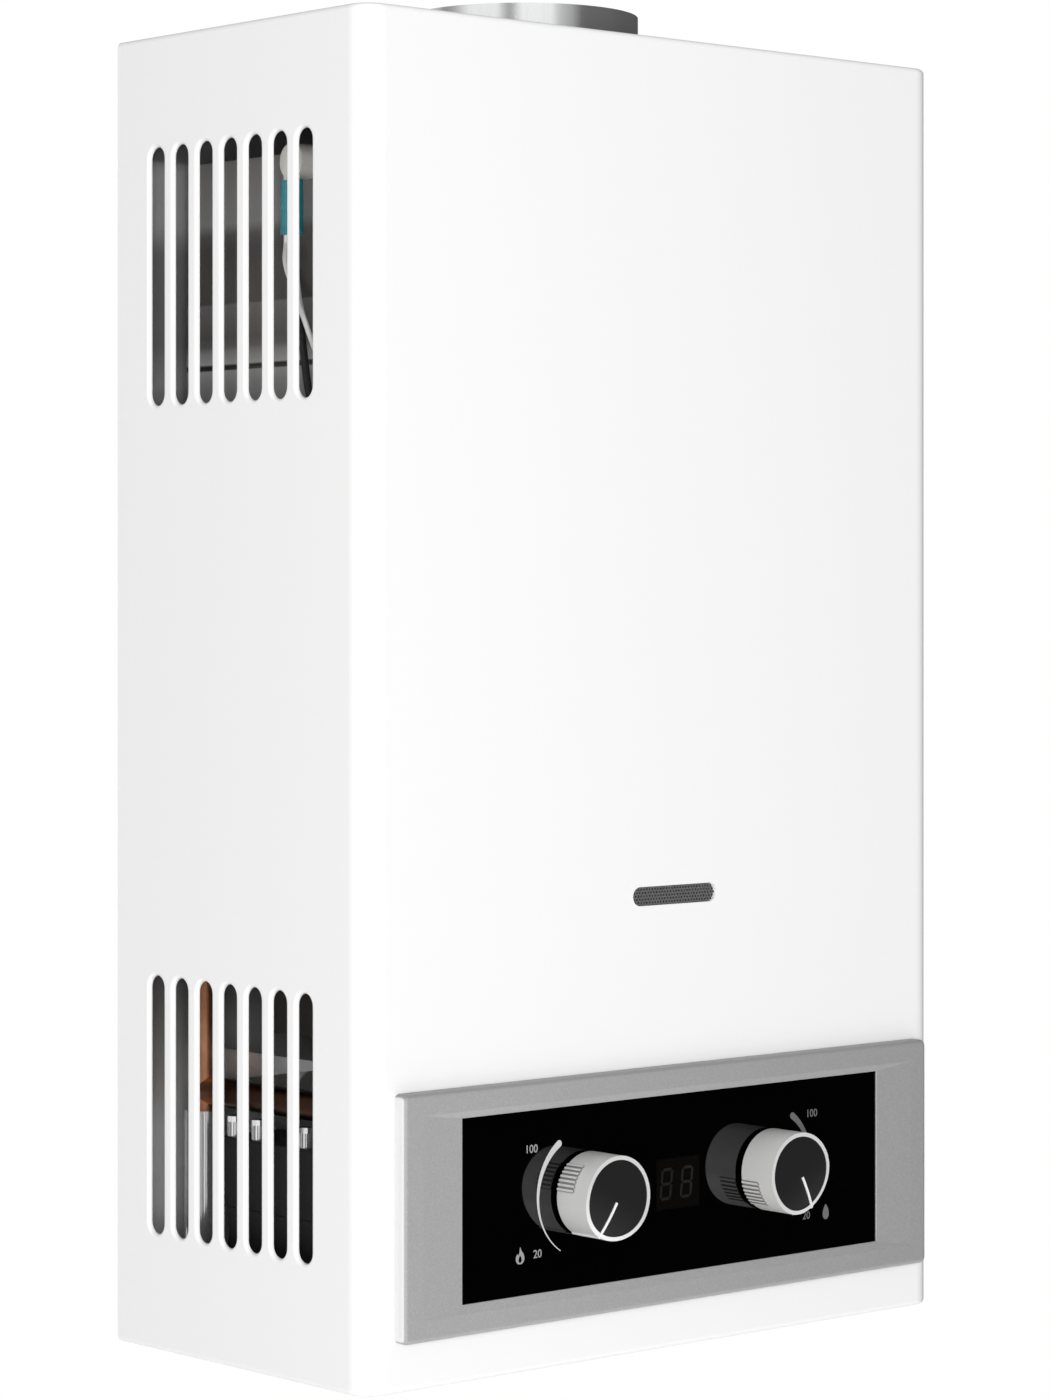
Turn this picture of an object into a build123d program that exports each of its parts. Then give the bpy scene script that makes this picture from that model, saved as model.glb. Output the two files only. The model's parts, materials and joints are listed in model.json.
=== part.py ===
"""Wall-hung instantaneous gas water heater with an open flue.

Frame: X to the right as seen from the front, Y towards the wall, Z up.
The origin is the centre of the four wall holes, on the wall plane.
Lengths are millimetres, and heights are given above the bottom of the casing.
"""

import os
from math import cos, hypot, radians, sin, sqrt

from build123d import *

# Fits
running_fit = 0.05        # radial, a pin that turns or slides in its bore
moving_gap = 0.35         # beside a piece that moves
seat_gap = 0.3            # between loose sheet parts
glue_gap = 0.05           # between parts of one knob

# Casing
casing_width = 350.0
casing_height = 590.0
casing_depth = 178.0
casing_sheet = 1.0
casing_edge_radius = 11.0
casing_rim_radius = 2.5
bottom_lip_width = 14.0

bottom = -casing_height / 2
top = casing_height / 2
side_inner = casing_width / 2 - casing_sheet

# Ventilation slots in both sides
slot_count = 7
slot_pitch = 17.8
slot_width = 10.8
slot_length = 116.0
slot_lip_radius = 1.8
slot_lip_wall = 1.2
slot_lip_depth = 2.0
slot_group_y = -82.7
upper_slot_inset = 108.0
lower_slot_inset = 110.0

# Flame window
window_width = 51.5
window_height = 8.6
window_x = 5.0
window_z = bottom + 204.0
mesh_plate_width = 66.0
mesh_plate_height = 22.0
mesh_sheet = 0.6
mesh_hole_diameter = 1.1
mesh_pitch = 1.72
mesh_columns = 31
mesh_rows = 7

# Wall plate
wall_sheet = 1.2
wall_side_gap = 0.5
wall_flange_depth = 18.0
wall_hole_radius = 3.5
wall_hole_spacing_x = 320.0
wall_hole_spacing_z = 500.0
swage_spacing = 190.0
swage_length = 260.0
swage_width = 18.0
swage_depth = 1.0

# Bottom plate
base_sheet = 1.2
base_flange_height = 12.0

# Control panel
panel_width = 322.0
panel_height = 106.0
panel_depth = 7.0
panel_x = 1.8
panel_z = bottom + 74.5
panel_corner_radius = 3.0
panel_edge_radius = 2.2
panel_wall = 2.2
bevel_width = 301.0
bevel_height = 87.0
bevel_depth = 1.0
fascia_view_width = 256.0
fascia_view_height = 80.0
fascia_view_z = bottom + 75.0
fascia_face = 5.3         # height of the glass face over the casing
fascia_thickness = 3.0
fascia_overlap = 3.0
display_width = 27.0
display_height = 23.0
display_board_width = 62.0
display_board_height = 34.0
display_board_thickness = 1.6
display_board_gap = 5.0   # from the casing's inner face to the board
panel_screw_x = 146.0
panel_screw_z = 32.0

# Knobs
knob_spacing = 112.7
knobs_x = 2.1             # middle between the two knobs
knob_z = bottom + 75.8
knob_radius = 18.7
knob_wall = 1.8
knob_length = 19.6
knob_gap = 2.0            # from the glass to the knob
knob_face_drop = 2.4      # how far the face bends back at the pointer
knob_face_recess = 0.3
knob_disc_thickness = 3.0
knob_hub_radius = 6.5
knob_rest_angle = 60.0    # pointer below the horizontal, outwards
rib_count = 7
rib_spacing = 6.0
rib_width = 1.0
rib_height = 0.5
rib_length = 10.5
pointer_width = 1.1
pointer_rise = 0.15
spindle_radius = 3.0
spindle_flat = 0.8
spindle_hole_radius = 8.0
spindle_grip = 13.0       # length held inside the hub
spindle_boss_depth = 16.0
spindle_boss_radius = 11.0
spindle_boss_length = 9.0

# Flue
flue_y = -79.6
flue_radius = 54.0
flue_neck_step = 0.8
flue_wall = 0.8
flue_rise = 18.4
flue_spigot_overlap = 3.0
flue_gap = 4.0
flue_flange_radius = 62.0
flue_flange_sheet = 1.0
cover_flange_margin = 15.0
cover_flange_lap = 2.0

# Draft hood and collector
hood_width = 294.0
hood_depth = 148.0
hood_y = -79.6
hood_corner_radius = 13.0
hood_sheet = 0.8
hood_top = bottom + 534.5
hood_seam = bottom + 470.0
hood_seam_step = 0.8
collector_groove = bottom + 440.2
collector_groove_height = 2.0
collector_groove_depth = 2.0
collector_bottom = bottom + 418.0

# Heat exchanger
exchanger_width = 224.0
exchanger_depth = 120.0
exchanger_y = -80.0
exchanger_corner_radius = 14.0
exchanger_sheet = 1.0
exchanger_bottom = bottom + 190.0
sight_hole_width = 60.0
sight_hole_height = 16.0
fin_count = 42
fin_pitch = 5.0
fin_sheet = 0.6
fin_height = 40.0
fin_z = bottom + 400.0
fin_side_gap = 1.0
tube_count = 5
tube_spacing = 22.0
tube_radius = 6.0
tube_bend_reach = 4.0
coil_turns = 3
coil_offset = 7.0         # from the shell to the centre of the tube
coil_start_z = bottom + 262.0
coil_pitch = 34.0
coil_corner_radius = 17.0
elbow_size = 20.0

# Burner
burner_side_gap = 0.5
burner_bottom = bottom + 138.0
burner_top = bottom + 200.0
burner_sheet = 1.2
burner_floor_opening = 90.0
bar_count = 10
bar_pitch = 20.0
bar_width = 8.0
bar_depth = 104.0
bar_height = 30.0
bar_slot_count = 16
bar_slot_width = 1.6
bar_slot_depth = 2.5
venturi_radius = 6.5
venturi_z = bottom + 158.0
venturi_reach = 12.0
venturi_bore = 4.5
manifold_size = 16.0
manifold_length = 214.0
manifold_y = -163.0
strap_spacing = 120.0
strap_width = 14.0
strap_sheet = 2.0
strap_upstand = 12.0
nozzle_radius = 4.0
nozzle_length = 5.0
nozzle_tip_radius = 2.0
nozzle_tip_length = 2.5

# Electrodes
electrode_spacing = 18.0
electrode_x = 58.0
electrode_z = bottom + 214.0
electrode_radius = 4.0
electrode_flange_radius = 6.5
electrode_flange_length = 3.0
electrode_outer = 12.0
electrode_inner = 14.0
electrode_rod_radius = 1.1
electrode_rod_reach = 22.0

# Valves: water and gas sections share the axis of the push rod
valve_y = -95.0
valve_z = knob_z
gas_valve_width = 50.0
gas_valve_depth = 48.0
gas_valve_height = 53.0
gas_valve_x = knobs_x - knob_spacing / 2
water_valve_width = 36.0
water_valve_depth = 42.0
water_valve_height = 48.0
water_valve_x = knobs_x + knob_spacing / 2
chamber_radius = 34.0
chamber_bore = 26.0
chamber_rim = 9.0
chamber_body_depth = 13.25
chamber_cover_depth = 11.25
chamber_cavity = 8.25
diaphragm_thickness = 1.5
yoke_width = 40.0
yoke_height = 30.0
yoke_sheet = 3.0
yoke_bar_height = 16.0
yoke_bar_thickness = 4.0
gland_length = 6.0
gland_radius = 13.0
switch_shelf_z = 10.0     # above the rod axis
switch_shelf_sheet = 2.0
rod_radius = 3.0
rod_travel = 4.0
rod_plate_radius = 18.0
rod_plate_thickness = 2.0
rod_collar_radius = 9.0
rod_collar_length = 4.0
poppet_radius = 8.0
poppet_thickness = 3.0
poppet_bore = 9.5
poppet_bore_depth = 24.0
poppet_inset = 15.0       # poppet face inside the gas valve's side
solenoid_radius = 14.0
solenoid_winding_radius = 12.4
solenoid_flange = 2.5
solenoid_length = 30.0
plunger_radius = 5.0
plunger_travel = 3.0
plunger_length = 22.0
plunger_disc_radius = 8.0
plunger_disc_thickness = 3.0
solenoid_pocket_depth = 10.0
solenoid_pocket_radius = 9.5
switch_width = 22.0
switch_depth = 10.0
switch_height = 14.0
switch_ear_wall = 1.6
switch_ear_radius = 2.2
switch_pivot_drop = 1.8   # pivot below the housing
lever_arm = 15.7
lever_rise = 5.8          # roller centre above the rod axis
lever_radius = 1.5
lever_pin_radius = 0.8
lever_sheet = 1.0
lever_tip_radius = 2.0
valve_screw_count = 6
valve_screw_radius = 2.0
valve_screw_head_radius = 3.6
valve_screw_head_length = 3.0

# Pipes and fittings
hot_pipe_radius = 7.0
gas_pipe_radius = 6.5
gas_pipe_bend = 15.0
gas_pipe_z = bottom + 129.0
thread_radius = 10.48
thread_length = 5.6
thread_relief = 0.5       # plain neck above the thread
thread_bore = 7.5
fitting_hole_gap = 0.8
fitting_tube_radius = 9.0
nut_size = 27.0
nut_length = 8.0
union_size = 22.0
union_length = 12.0
union_neck = 4.0
hot_pipe_inset = 31.0     # from the casing's side to the pipe's axis
hot_pipe_y = -24.0
hot_pipe_z = bottom + 372.0
hot_pipe_bend = 14.0
hot_fitting_top = bottom + 105.0
bypass_z = bottom + 114.0
bypass_radius = 6.5
bypass_bend = 10.0
bypass_y = -128.0
drain_boss_width = 14.0
drain_boss_drop = 8.0     # below the chamber
drain_stem_radius = 4.5
drain_knob_radius = 7.5
drain_knob_height = 7.0
drain_hole_gap = 1.0
side_rail_inset = 42.0
side_rail_top = bottom + 132.0
side_rail_root = 18.5     # height at the wall plate
side_rail_end = 2.5       # height at the front end
side_rail_sheet = 1.5
side_rail_reach = 102.0

# Battery box and ignition module
battery_radius = 16.6
battery_length = 60.0
battery_nub_length = 1.5
battery_gap = 0.6
battery_inset = 36.0
battery_y = -96.0
battery_wall = 1.6
battery_bottom = bottom + 3.0
box_flange_width = 2.4
box_flange_sheet = 1.5
lid_thickness = 2.2
lid_seam = 0.3
lid_contact_radius = 5.0
hinge_drop = 1.4          # hinge axis below the top of the lid
hinge_radius = 1.9
hinge_pin_radius = 1.0
hinge_ear_length = 4.0
hinge_side_gap = 0.35
module_height = 31.0
module_width = 36.0
module_depth = 78.0
module_y = battery_y + 4.0
module_corner = 3.0
terminal_inset = 5.0      # from the module's left side to the terminals
terminal_radius = 3.4
terminal_height = 9.0
terminal_cap = 2.5        # height of the hexagonal top
terminal_places = (-57.5, -75.0, -109.0)

# Flue sensor
sensor_radius = 8.0
sensor_thickness = 9.0
sensor_y = -102.2
sensor_z = bottom + 529.5
spade_width = 3.0
spade_sheet = 0.8
spade_length = 6.0        # inside the boot
boot_width = 4.5
boot_height = 24.0
boot_top = bottom + 521.2
boot_spacing = 7.6
boot_tuck = 2.7           # from the sensor's face to the boot's face
probe_y = -94.7
probe_z = bottom + 488.0
probe_width = 4.0
probe_height = 10.0
probe_depth = 4.4

# Leads
lead_radius = 1.2
braid_radius = 1.7
ignition_lead_radius = 1.8

# Screws
screw_radius = 1.9
screw_head_radius = 4.0
screw_head_length = 2.2
screw_length = 7.0
screw_hole_gap = 0.25
lip_head_radius = 3.4
lip_head_length = 0.5
lip_screw_inset = 9.5     # from the casing's front

# Places that follow from the sizes above
front = casing_depth
panel_front = front + panel_depth
hot_pipe_x = -casing_width / 2 + hot_pipe_inset
side_rail_x = -casing_width / 2 + side_rail_inset
battery_x = -casing_width / 2 + battery_inset
knob_base = front + fascia_face + knob_gap
base_low = bottom + casing_sheet
base_high = base_low + base_sheet
lip_y = -(casing_depth - bottom_lip_width)
lip_screw_y = -(casing_depth - lip_screw_inset)
rim_inner_radius = casing_rim_radius - casing_sheet
wall_half_width = side_inner - wall_side_gap
base_half_width = side_inner - rim_inner_radius
burner_width = exchanger_width - 2 * (exchanger_sheet + burner_side_gap)
burner_depth = exchanger_depth - 2 * (exchanger_sheet + burner_side_gap)
hood_back = hood_y + hood_depth / 2
hood_front = hood_y - hood_depth / 2
exchanger_back = exchanger_y + exchanger_depth / 2
exchanger_front = exchanger_y - exchanger_depth / 2
gas_valve_left = gas_valve_x - gas_valve_width / 2
gas_valve_right = gas_valve_x + gas_valve_width / 2
gas_valve_front = -valve_y + gas_valve_depth / 2
water_valve_left = water_valve_x - water_valve_width / 2
water_valve_right = water_valve_x + water_valve_width / 2
water_valve_front = -valve_y + water_valve_depth / 2
diaphragm_x = water_valve_left - chamber_body_depth
cover_x = diaphragm_x - diaphragm_thickness
chamber_left = cover_x - chamber_cover_depth
drain_x = diaphragm_x + chamber_body_depth / 2
union_right = water_valve_right + union_neck + union_length
battery_pair_pitch = 2 * battery_radius + battery_gap
bay_width = 2 * (battery_radius + battery_gap)
bay_depth = bay_width + battery_pair_pitch
bay_top = battery_bottom + battery_length + battery_nub_length
box_width = bay_width + 2 * battery_wall
box_depth = bay_depth + 2 * battery_wall
box_top = bay_top + battery_wall
flange_low = base_low - box_flange_sheet
lid_high = flange_low - lid_seam
hinge_x = battery_x + box_width / 2 + box_flange_width + hinge_side_gap + hinge_radius
hinge_z = lid_high - hinge_drop

os.makedirs("parts", exist_ok=True)


def keep(piece, label):
    """Name a finished piece and write it."""
    piece.part.label = label
    export_step(piece.part, f"parts/{label}.step")


def route_radii(points, share=0.45, largest=None):
    """Bend radii for a route, as large as the two runs beside each corner allow."""
    radii = []
    for before, corner, after in zip(points, points[1:], points[2:]):
        run_in = Vector(*corner) - Vector(*before)
        run_out = Vector(*after) - Vector(*corner)
        half_turn = radians(run_in.get_angle(run_out) / 2)
        radius = share * min(run_in.length, run_out.length) / (sin(half_turn) / cos(half_turn))
        radii.append(min(radius, largest) if largest else radius)
    return radii


def swept_tube(points, radius, bend=None):
    """A round tube or lead along straight runs joined by tangent arcs."""
    radii = [bend] * (len(points) - 2) if bend else route_radii(points, largest=60.0)
    with BuildPart() as tube:
        with BuildLine() as path:
            if len(points) == 2:
                Line(points[0], points[1])
            else:
                FilletPolyline(*points, radius=radii)
        with BuildSketch(Plane(origin=points[0], z_dir=path.line % 0)):
            Circle(radius)
        sweep(path=path.line)
    return tube


def hexagon(size):
    """Radius of the circle round a hexagon that is given across its flats."""
    return size / sqrt(3)


# Front casing: one folded and enamelled shell, open towards the wall
def casing_block(inset):
    """The outer form of the casing, drawn in by the given amount on five sides."""
    with BuildPart() as block:
        with BuildSketch(Plane.XY.offset(bottom + inset)):
            with BuildLine():
                half = casing_width / 2 - inset
                Polyline((-half, 0), (half, 0), (half, inset - front), (-half, inset - front), close=True)
            make_face()
        extrude(amount=casing_height - 2 * inset)
        upright = block.edges().filter_by(Axis.Z).group_by(Axis.Y)[0]
        fillet(upright, casing_edge_radius - inset)
        for end in (Axis.Z, -Axis.Z):
            rim = block.faces().sort_by(end)[-1].edges()
            rim = rim.filter_by(lambda edge: edge.center().Y < -1.0)
            fillet(rim, casing_rim_radius - inset)
    return block.part


slot_rows = (top - upper_slot_inset, bottom + lower_slot_inset)
casing_outer = casing_block(0.0)
casing_inner = casing_block(casing_sheet)

with BuildPart() as front_casing:
    add(casing_outer)
    add(casing_inner, mode=Mode.SUBTRACT)
    for side in (-1, 1):
        inner_skin = Plane.YZ.offset(side * side_inner)
        outer_skin = Plane.YZ.offset(side * casing_width / 2)
        for row_z in slot_rows:
            with BuildSketch(inner_skin):
                with Locations((slot_group_y, row_z)):
                    with GridLocations(slot_pitch, 0, slot_count, 1):
                        SlotOverall(slot_length + 2 * slot_lip_wall, slot_width + 2 * slot_lip_wall, rotation=90)
            extrude(amount=-side * (slot_lip_depth - casing_sheet))
            with BuildSketch(outer_skin):
                with Locations((slot_group_y, row_z)):
                    with GridLocations(slot_pitch, 0, slot_count, 1):
                        SlotOverall(slot_length, slot_width, rotation=90)
            extrude(amount=-side * (slot_lip_depth + 1), mode=Mode.SUBTRACT)
    for side in (0, -1):
        skin = front_casing.faces().filter_by(Axis.X).sort_by(Axis.X)[side]
        fillet([edge for wire in skin.inner_wires() for edge in wire.edges()], slot_lip_radius)
    # Notch in the top, open to the rear, so that the casing slides off past the flue
    with BuildSketch(Plane.XY.offset(top)):
        with Locations((0, flue_y)):
            Circle(flue_radius + flue_gap)
        with Locations((0, flue_y / 2)):
            Rectangle(2 * (flue_radius + flue_gap), -flue_y)
    extrude(amount=-4 * casing_sheet, mode=Mode.SUBTRACT)
    # The bottom is open inside a lip on three sides
    with BuildSketch(Plane.XY.offset(bottom)):
        with Locations((0, lip_y / 2)):
            Rectangle(casing_width - 2 * bottom_lip_width, -lip_y)
    extrude(amount=2 * casing_sheet, mode=Mode.SUBTRACT)
    # Holes in the front skin
    with BuildSketch(Plane.XZ.offset(front)):
        with Locations((window_x, window_z)):
            SlotOverall(window_width, window_height)
        with Locations((knobs_x, knob_z)):
            with GridLocations(knob_spacing, 0, 2, 1):
                Circle(spindle_hole_radius)
        with Locations((panel_x, fascia_view_z)):
            Rectangle(display_width + 2, display_height + 2)
        with Locations((panel_x, panel_z)):
            with GridLocations(2 * panel_screw_x, 2 * panel_screw_z, 2, 2):
                Circle(screw_radius + screw_hole_gap)
    extrude(amount=-4 * casing_sheet, mode=Mode.SUBTRACT)
    # Screw holes in the front lip
    with BuildSketch(Plane.XY.offset(bottom)):
        with Locations((0, lip_screw_y)):
            with GridLocations(casing_width / 2, 0, 2, 1):
                Circle(screw_radius + screw_hole_gap)
    extrude(amount=2 * casing_sheet, mode=Mode.SUBTRACT)
keep(front_casing, "front_casing")

# Wall plate: carries everything else
with BuildPart() as back_plate:
    plate_low = base_low + seat_gap
    plate_high = top - casing_sheet - seat_gap
    plate_middle = (plate_low + plate_high) / 2
    with BuildSketch(Plane.XZ):
        with Locations((0, plate_middle)):
            Rectangle(2 * wall_half_width, plate_high - plate_low)
    extrude(amount=wall_sheet)
    # Side flanges
    with BuildSketch(Plane.XZ.offset(wall_sheet)):
        with Locations((0, plate_middle)):
            with GridLocations(2 * wall_half_width - wall_sheet, 0, 2, 1):
                Rectangle(wall_sheet, plate_high - plate_low)
    extrude(amount=wall_flange_depth - wall_sheet)
    outer_corners = back_plate.edges().filter_by(Axis.Y)
    outer_corners = outer_corners.filter_by(lambda edge: abs(edge.center().X) > wall_half_width - 0.1)
    chamfer(outer_corners, wall_sheet / 2)
    # Top flange that closes the casing's notch behind the flue
    flange_half = flue_radius + flue_gap + cover_flange_margin
    with BuildSketch(Plane.XY.offset(plate_high)):
        with Locations((0, flue_y / 2)):
            Rectangle(2 * flange_half, -flue_y)
        with Locations((0, flue_y)):
            Circle(flue_radius + cover_flange_lap, mode=Mode.SUBTRACT)
    extrude(amount=-wall_sheet)
    # Stiffening swages, raised inwards
    with BuildSketch(Plane.XZ.offset(wall_sheet)):
        with GridLocations(swage_spacing, 0, 2, 1):
            SlotOverall(swage_length, swage_width, rotation=90)
    extrude(amount=swage_depth)
    with BuildSketch(Plane.XZ):
        with GridLocations(swage_spacing, 0, 2, 1):
            SlotOverall(swage_length - 2 * wall_sheet, swage_width - 2 * wall_sheet, rotation=90)
    extrude(amount=swage_depth, mode=Mode.SUBTRACT)
    with BuildSketch(Plane.XZ):
        with GridLocations(wall_hole_spacing_x, wall_hole_spacing_z, 2, 2):
            Circle(wall_hole_radius)
    extrude(amount=2 * wall_sheet, mode=Mode.SUBTRACT)
keep(back_plate, "back_plate")

# Bottom plate: rests on the casing's lip and holds the three fittings
fitting_hole = thread_radius + fitting_hole_gap
fitting_places = {
    "gas_inlet": (gas_valve_x, valve_y),
    "cold_inlet": (water_valve_x, valve_y),
    "hot_outlet": (hot_pipe_x, hot_pipe_y),
}
base_front = front - casing_sheet - rim_inner_radius
with BuildPart() as bottom_plate:
    with BuildSketch(Plane.XY.offset(base_low)) as outline:
        with Locations((0, -(wall_sheet + base_front) / 2)):
            Rectangle(2 * base_half_width, base_front - wall_sheet)
        fillet(outline.vertices().group_by(Axis.Y)[0], casing_edge_radius - casing_sheet - rim_inner_radius)
    extrude(amount=base_sheet)
    with BuildSketch(Plane.XZ.offset(wall_sheet)):
        with Locations((0, base_high + base_flange_height / 2)):
            Rectangle(2 * (wall_half_width - wall_sheet), base_flange_height)
    extrude(amount=base_sheet)
    # The rear corners stand clear of the wall plate's side flanges
    with BuildSketch(Plane.XY.offset(base_low)):
        with Locations((0, -wall_flange_depth / 2)):
            with GridLocations(2 * wall_half_width, 0, 2, 1):
                Rectangle(4 * wall_sheet, wall_flange_depth + 1)
    extrude(amount=base_sheet, mode=Mode.SUBTRACT)
    with BuildSketch(Plane.XY.offset(base_low)):
        with Locations(*fitting_places.values()):
            Circle(fitting_hole)
        with Locations((battery_x, battery_y)):
            Rectangle(box_width + 2 * seat_gap, box_depth + 2 * seat_gap)
        with Locations((drain_x, valve_y)):
            Circle(drain_knob_radius + drain_hole_gap)
        with Locations((0, lip_screw_y)):
            with GridLocations(casing_width / 2, 0, 2, 1):
                Circle(screw_radius)
    extrude(amount=base_sheet, mode=Mode.SUBTRACT)
keep(bottom_plate, "bottom_plate")

# Perforated plate behind the flame window
with BuildPart() as window_mesh:
    with BuildSketch(Plane.XZ.offset(front - casing_sheet)):
        with Locations((window_x, window_z)):
            RectangleRounded(mesh_plate_width, mesh_plate_height, 3)
            row_height = mesh_pitch * sqrt(3) / 2
            for row in range(mesh_rows):
                shift = mesh_pitch / 2 if row % 2 else 0.0
                row_z = (row - (mesh_rows - 1) / 2) * row_height
                with Locations((shift, row_z)):
                    with GridLocations(mesh_pitch, 0, mesh_columns, 1):
                        Circle(mesh_hole_diameter / 2, mode=Mode.SUBTRACT)
    extrude(amount=-mesh_sheet)
keep(window_mesh, "window_mesh")

# Control panel frame: a hollow moulding with a bevelled opening
with BuildPart() as control_frame:
    with BuildSketch(Plane.XZ.offset(front)):
        with Locations((panel_x, panel_z)):
            Rectangle(panel_width, panel_height)
    extrude(amount=panel_depth)
    fillet(control_frame.edges().filter_by(Axis.Y), panel_corner_radius)
    fillet(control_frame.faces().sort_by(Axis.Y)[0].edges(), panel_edge_radius)
    # Bevel from the front band down to the glass
    with BuildSketch(Plane.XZ.offset(panel_front)):
        with Locations((panel_x, panel_z)):
            Rectangle(bevel_width, bevel_height)
    with BuildSketch(Plane.XZ.offset(panel_front - bevel_depth)):
        with Locations((panel_x, fascia_view_z)):
            Rectangle(fascia_view_width, fascia_view_height)
    loft(mode=Mode.SUBTRACT)
    with BuildSketch(Plane.XZ.offset(front)):
        with Locations((panel_x, fascia_view_z)):
            Rectangle(fascia_view_width, fascia_view_height)
    extrude(amount=panel_depth, mode=Mode.SUBTRACT)
    # Rebate for the glass
    with BuildSketch(Plane.XZ.offset(front)):
        with Locations((panel_x, fascia_view_z)):
            Rectangle(fascia_view_width + 2 * (fascia_overlap + glue_gap),
                      fascia_view_height + 2 * (fascia_overlap + glue_gap))
    extrude(amount=fascia_face, mode=Mode.SUBTRACT)
    # Hollow side bands with a screw boss at each corner
    band_width = (panel_width - fascia_view_width) / 2 - fascia_overlap - 2 * panel_wall
    band_x = panel_width / 2 - panel_wall - band_width / 2
    with BuildSketch(Plane.XZ.offset(front)):
        with Locations((panel_x, panel_z)):
            with GridLocations(2 * band_x, 0, 2, 1):
                Rectangle(band_width, panel_height - 2 * panel_wall)
            with GridLocations(2 * panel_screw_x, 2 * panel_screw_z, 2, 2):
                Circle(2 * screw_radius, mode=Mode.SUBTRACT)
    extrude(amount=panel_depth - bevel_depth - 2 * panel_wall, mode=Mode.SUBTRACT)
    with BuildSketch(Plane.XZ.offset(front)):
        with Locations((panel_x, panel_z)):
            with GridLocations(2 * panel_screw_x, 2 * panel_screw_z, 2, 2):
                Circle(screw_radius)
    extrude(amount=screw_length - screw_head_length, mode=Mode.SUBTRACT)
keep(control_frame, "control_frame")

# Black glass behind the frame's opening
with BuildPart() as fascia:
    with BuildSketch(Plane.XZ.offset(front + fascia_face - fascia_thickness)):
        with Locations((panel_x, fascia_view_z)):
            Rectangle(fascia_view_width + 2 * fascia_overlap, fascia_view_height + 2 * fascia_overlap)
        with Locations((knobs_x, knob_z)):
            with GridLocations(knob_spacing, 0, 2, 1):
                Circle(spindle_radius + 1, mode=Mode.SUBTRACT)
    extrude(amount=fascia_thickness)
keep(fascia, "fascia")

# Display: a digit block on a small board
with BuildPart() as display_module:
    board_face = front - casing_sheet - display_board_gap
    with BuildSketch(Plane.XZ.offset(board_face)):
        with Locations((panel_x, fascia_view_z)):
            Rectangle(display_width, display_height)
    extrude(amount=front + fascia_face - fascia_thickness - board_face)
    with BuildSketch(Plane.XZ.offset(board_face)):
        with Locations((panel_x, fascia_view_z)):
            Rectangle(display_board_width, display_board_height)
    extrude(amount=-display_board_thickness)
keep(display_module, "display_module")


# Knobs: an aluminium sleeve, a black core and a white pointer, alike on both sides
def knob_plane(centre_x, angle):
    """Plane at a knob's base, with its x axis along the pointer."""
    direction = (cos(radians(angle)), 0, sin(radians(angle)))
    return Plane(origin=(centre_x, -knob_base, knob_z), x_dir=direction, z_dir=(0, -1, 0))


bend_radius = (knob_radius**2 + knob_face_drop**2) / (2 * knob_face_drop)
bend_centre = knob_length - bend_radius


def bend_level(distance, offset):
    """Height of the bent face over the knob's base, at a distance along the pointer."""
    return bend_centre + sqrt((bend_radius + offset) ** 2 - distance**2)


def bend_arc(start, end, offset):
    """Arc of the bent face between two distances along the pointer."""
    middle = (start + end) / 2
    return ThreePointArc((start, bend_level(start, offset)), (middle, bend_level(middle, offset)),
                         (end, bend_level(end, offset)))


def cut_bent_face(plane, offset):
    """Cut the front of a knob part back to the bent face."""
    across = Plane(origin=plane.origin, x_dir=plane.x_dir, z_dir=-plane.y_dir)
    reach = knob_radius + 2
    high = knob_length + 5
    with BuildSketch(across) as waste:
        with BuildLine():
            bend_arc(0, reach, offset)
            Polyline((reach, bend_level(reach, offset)), (reach, high), (-reach, high),
                     (-reach, knob_length + offset), (0, knob_length + offset))
        make_face()
    extrude(waste.sketch, amount=reach, both=True, mode=Mode.SUBTRACT)


core_radius = knob_radius - knob_wall - glue_gap


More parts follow.
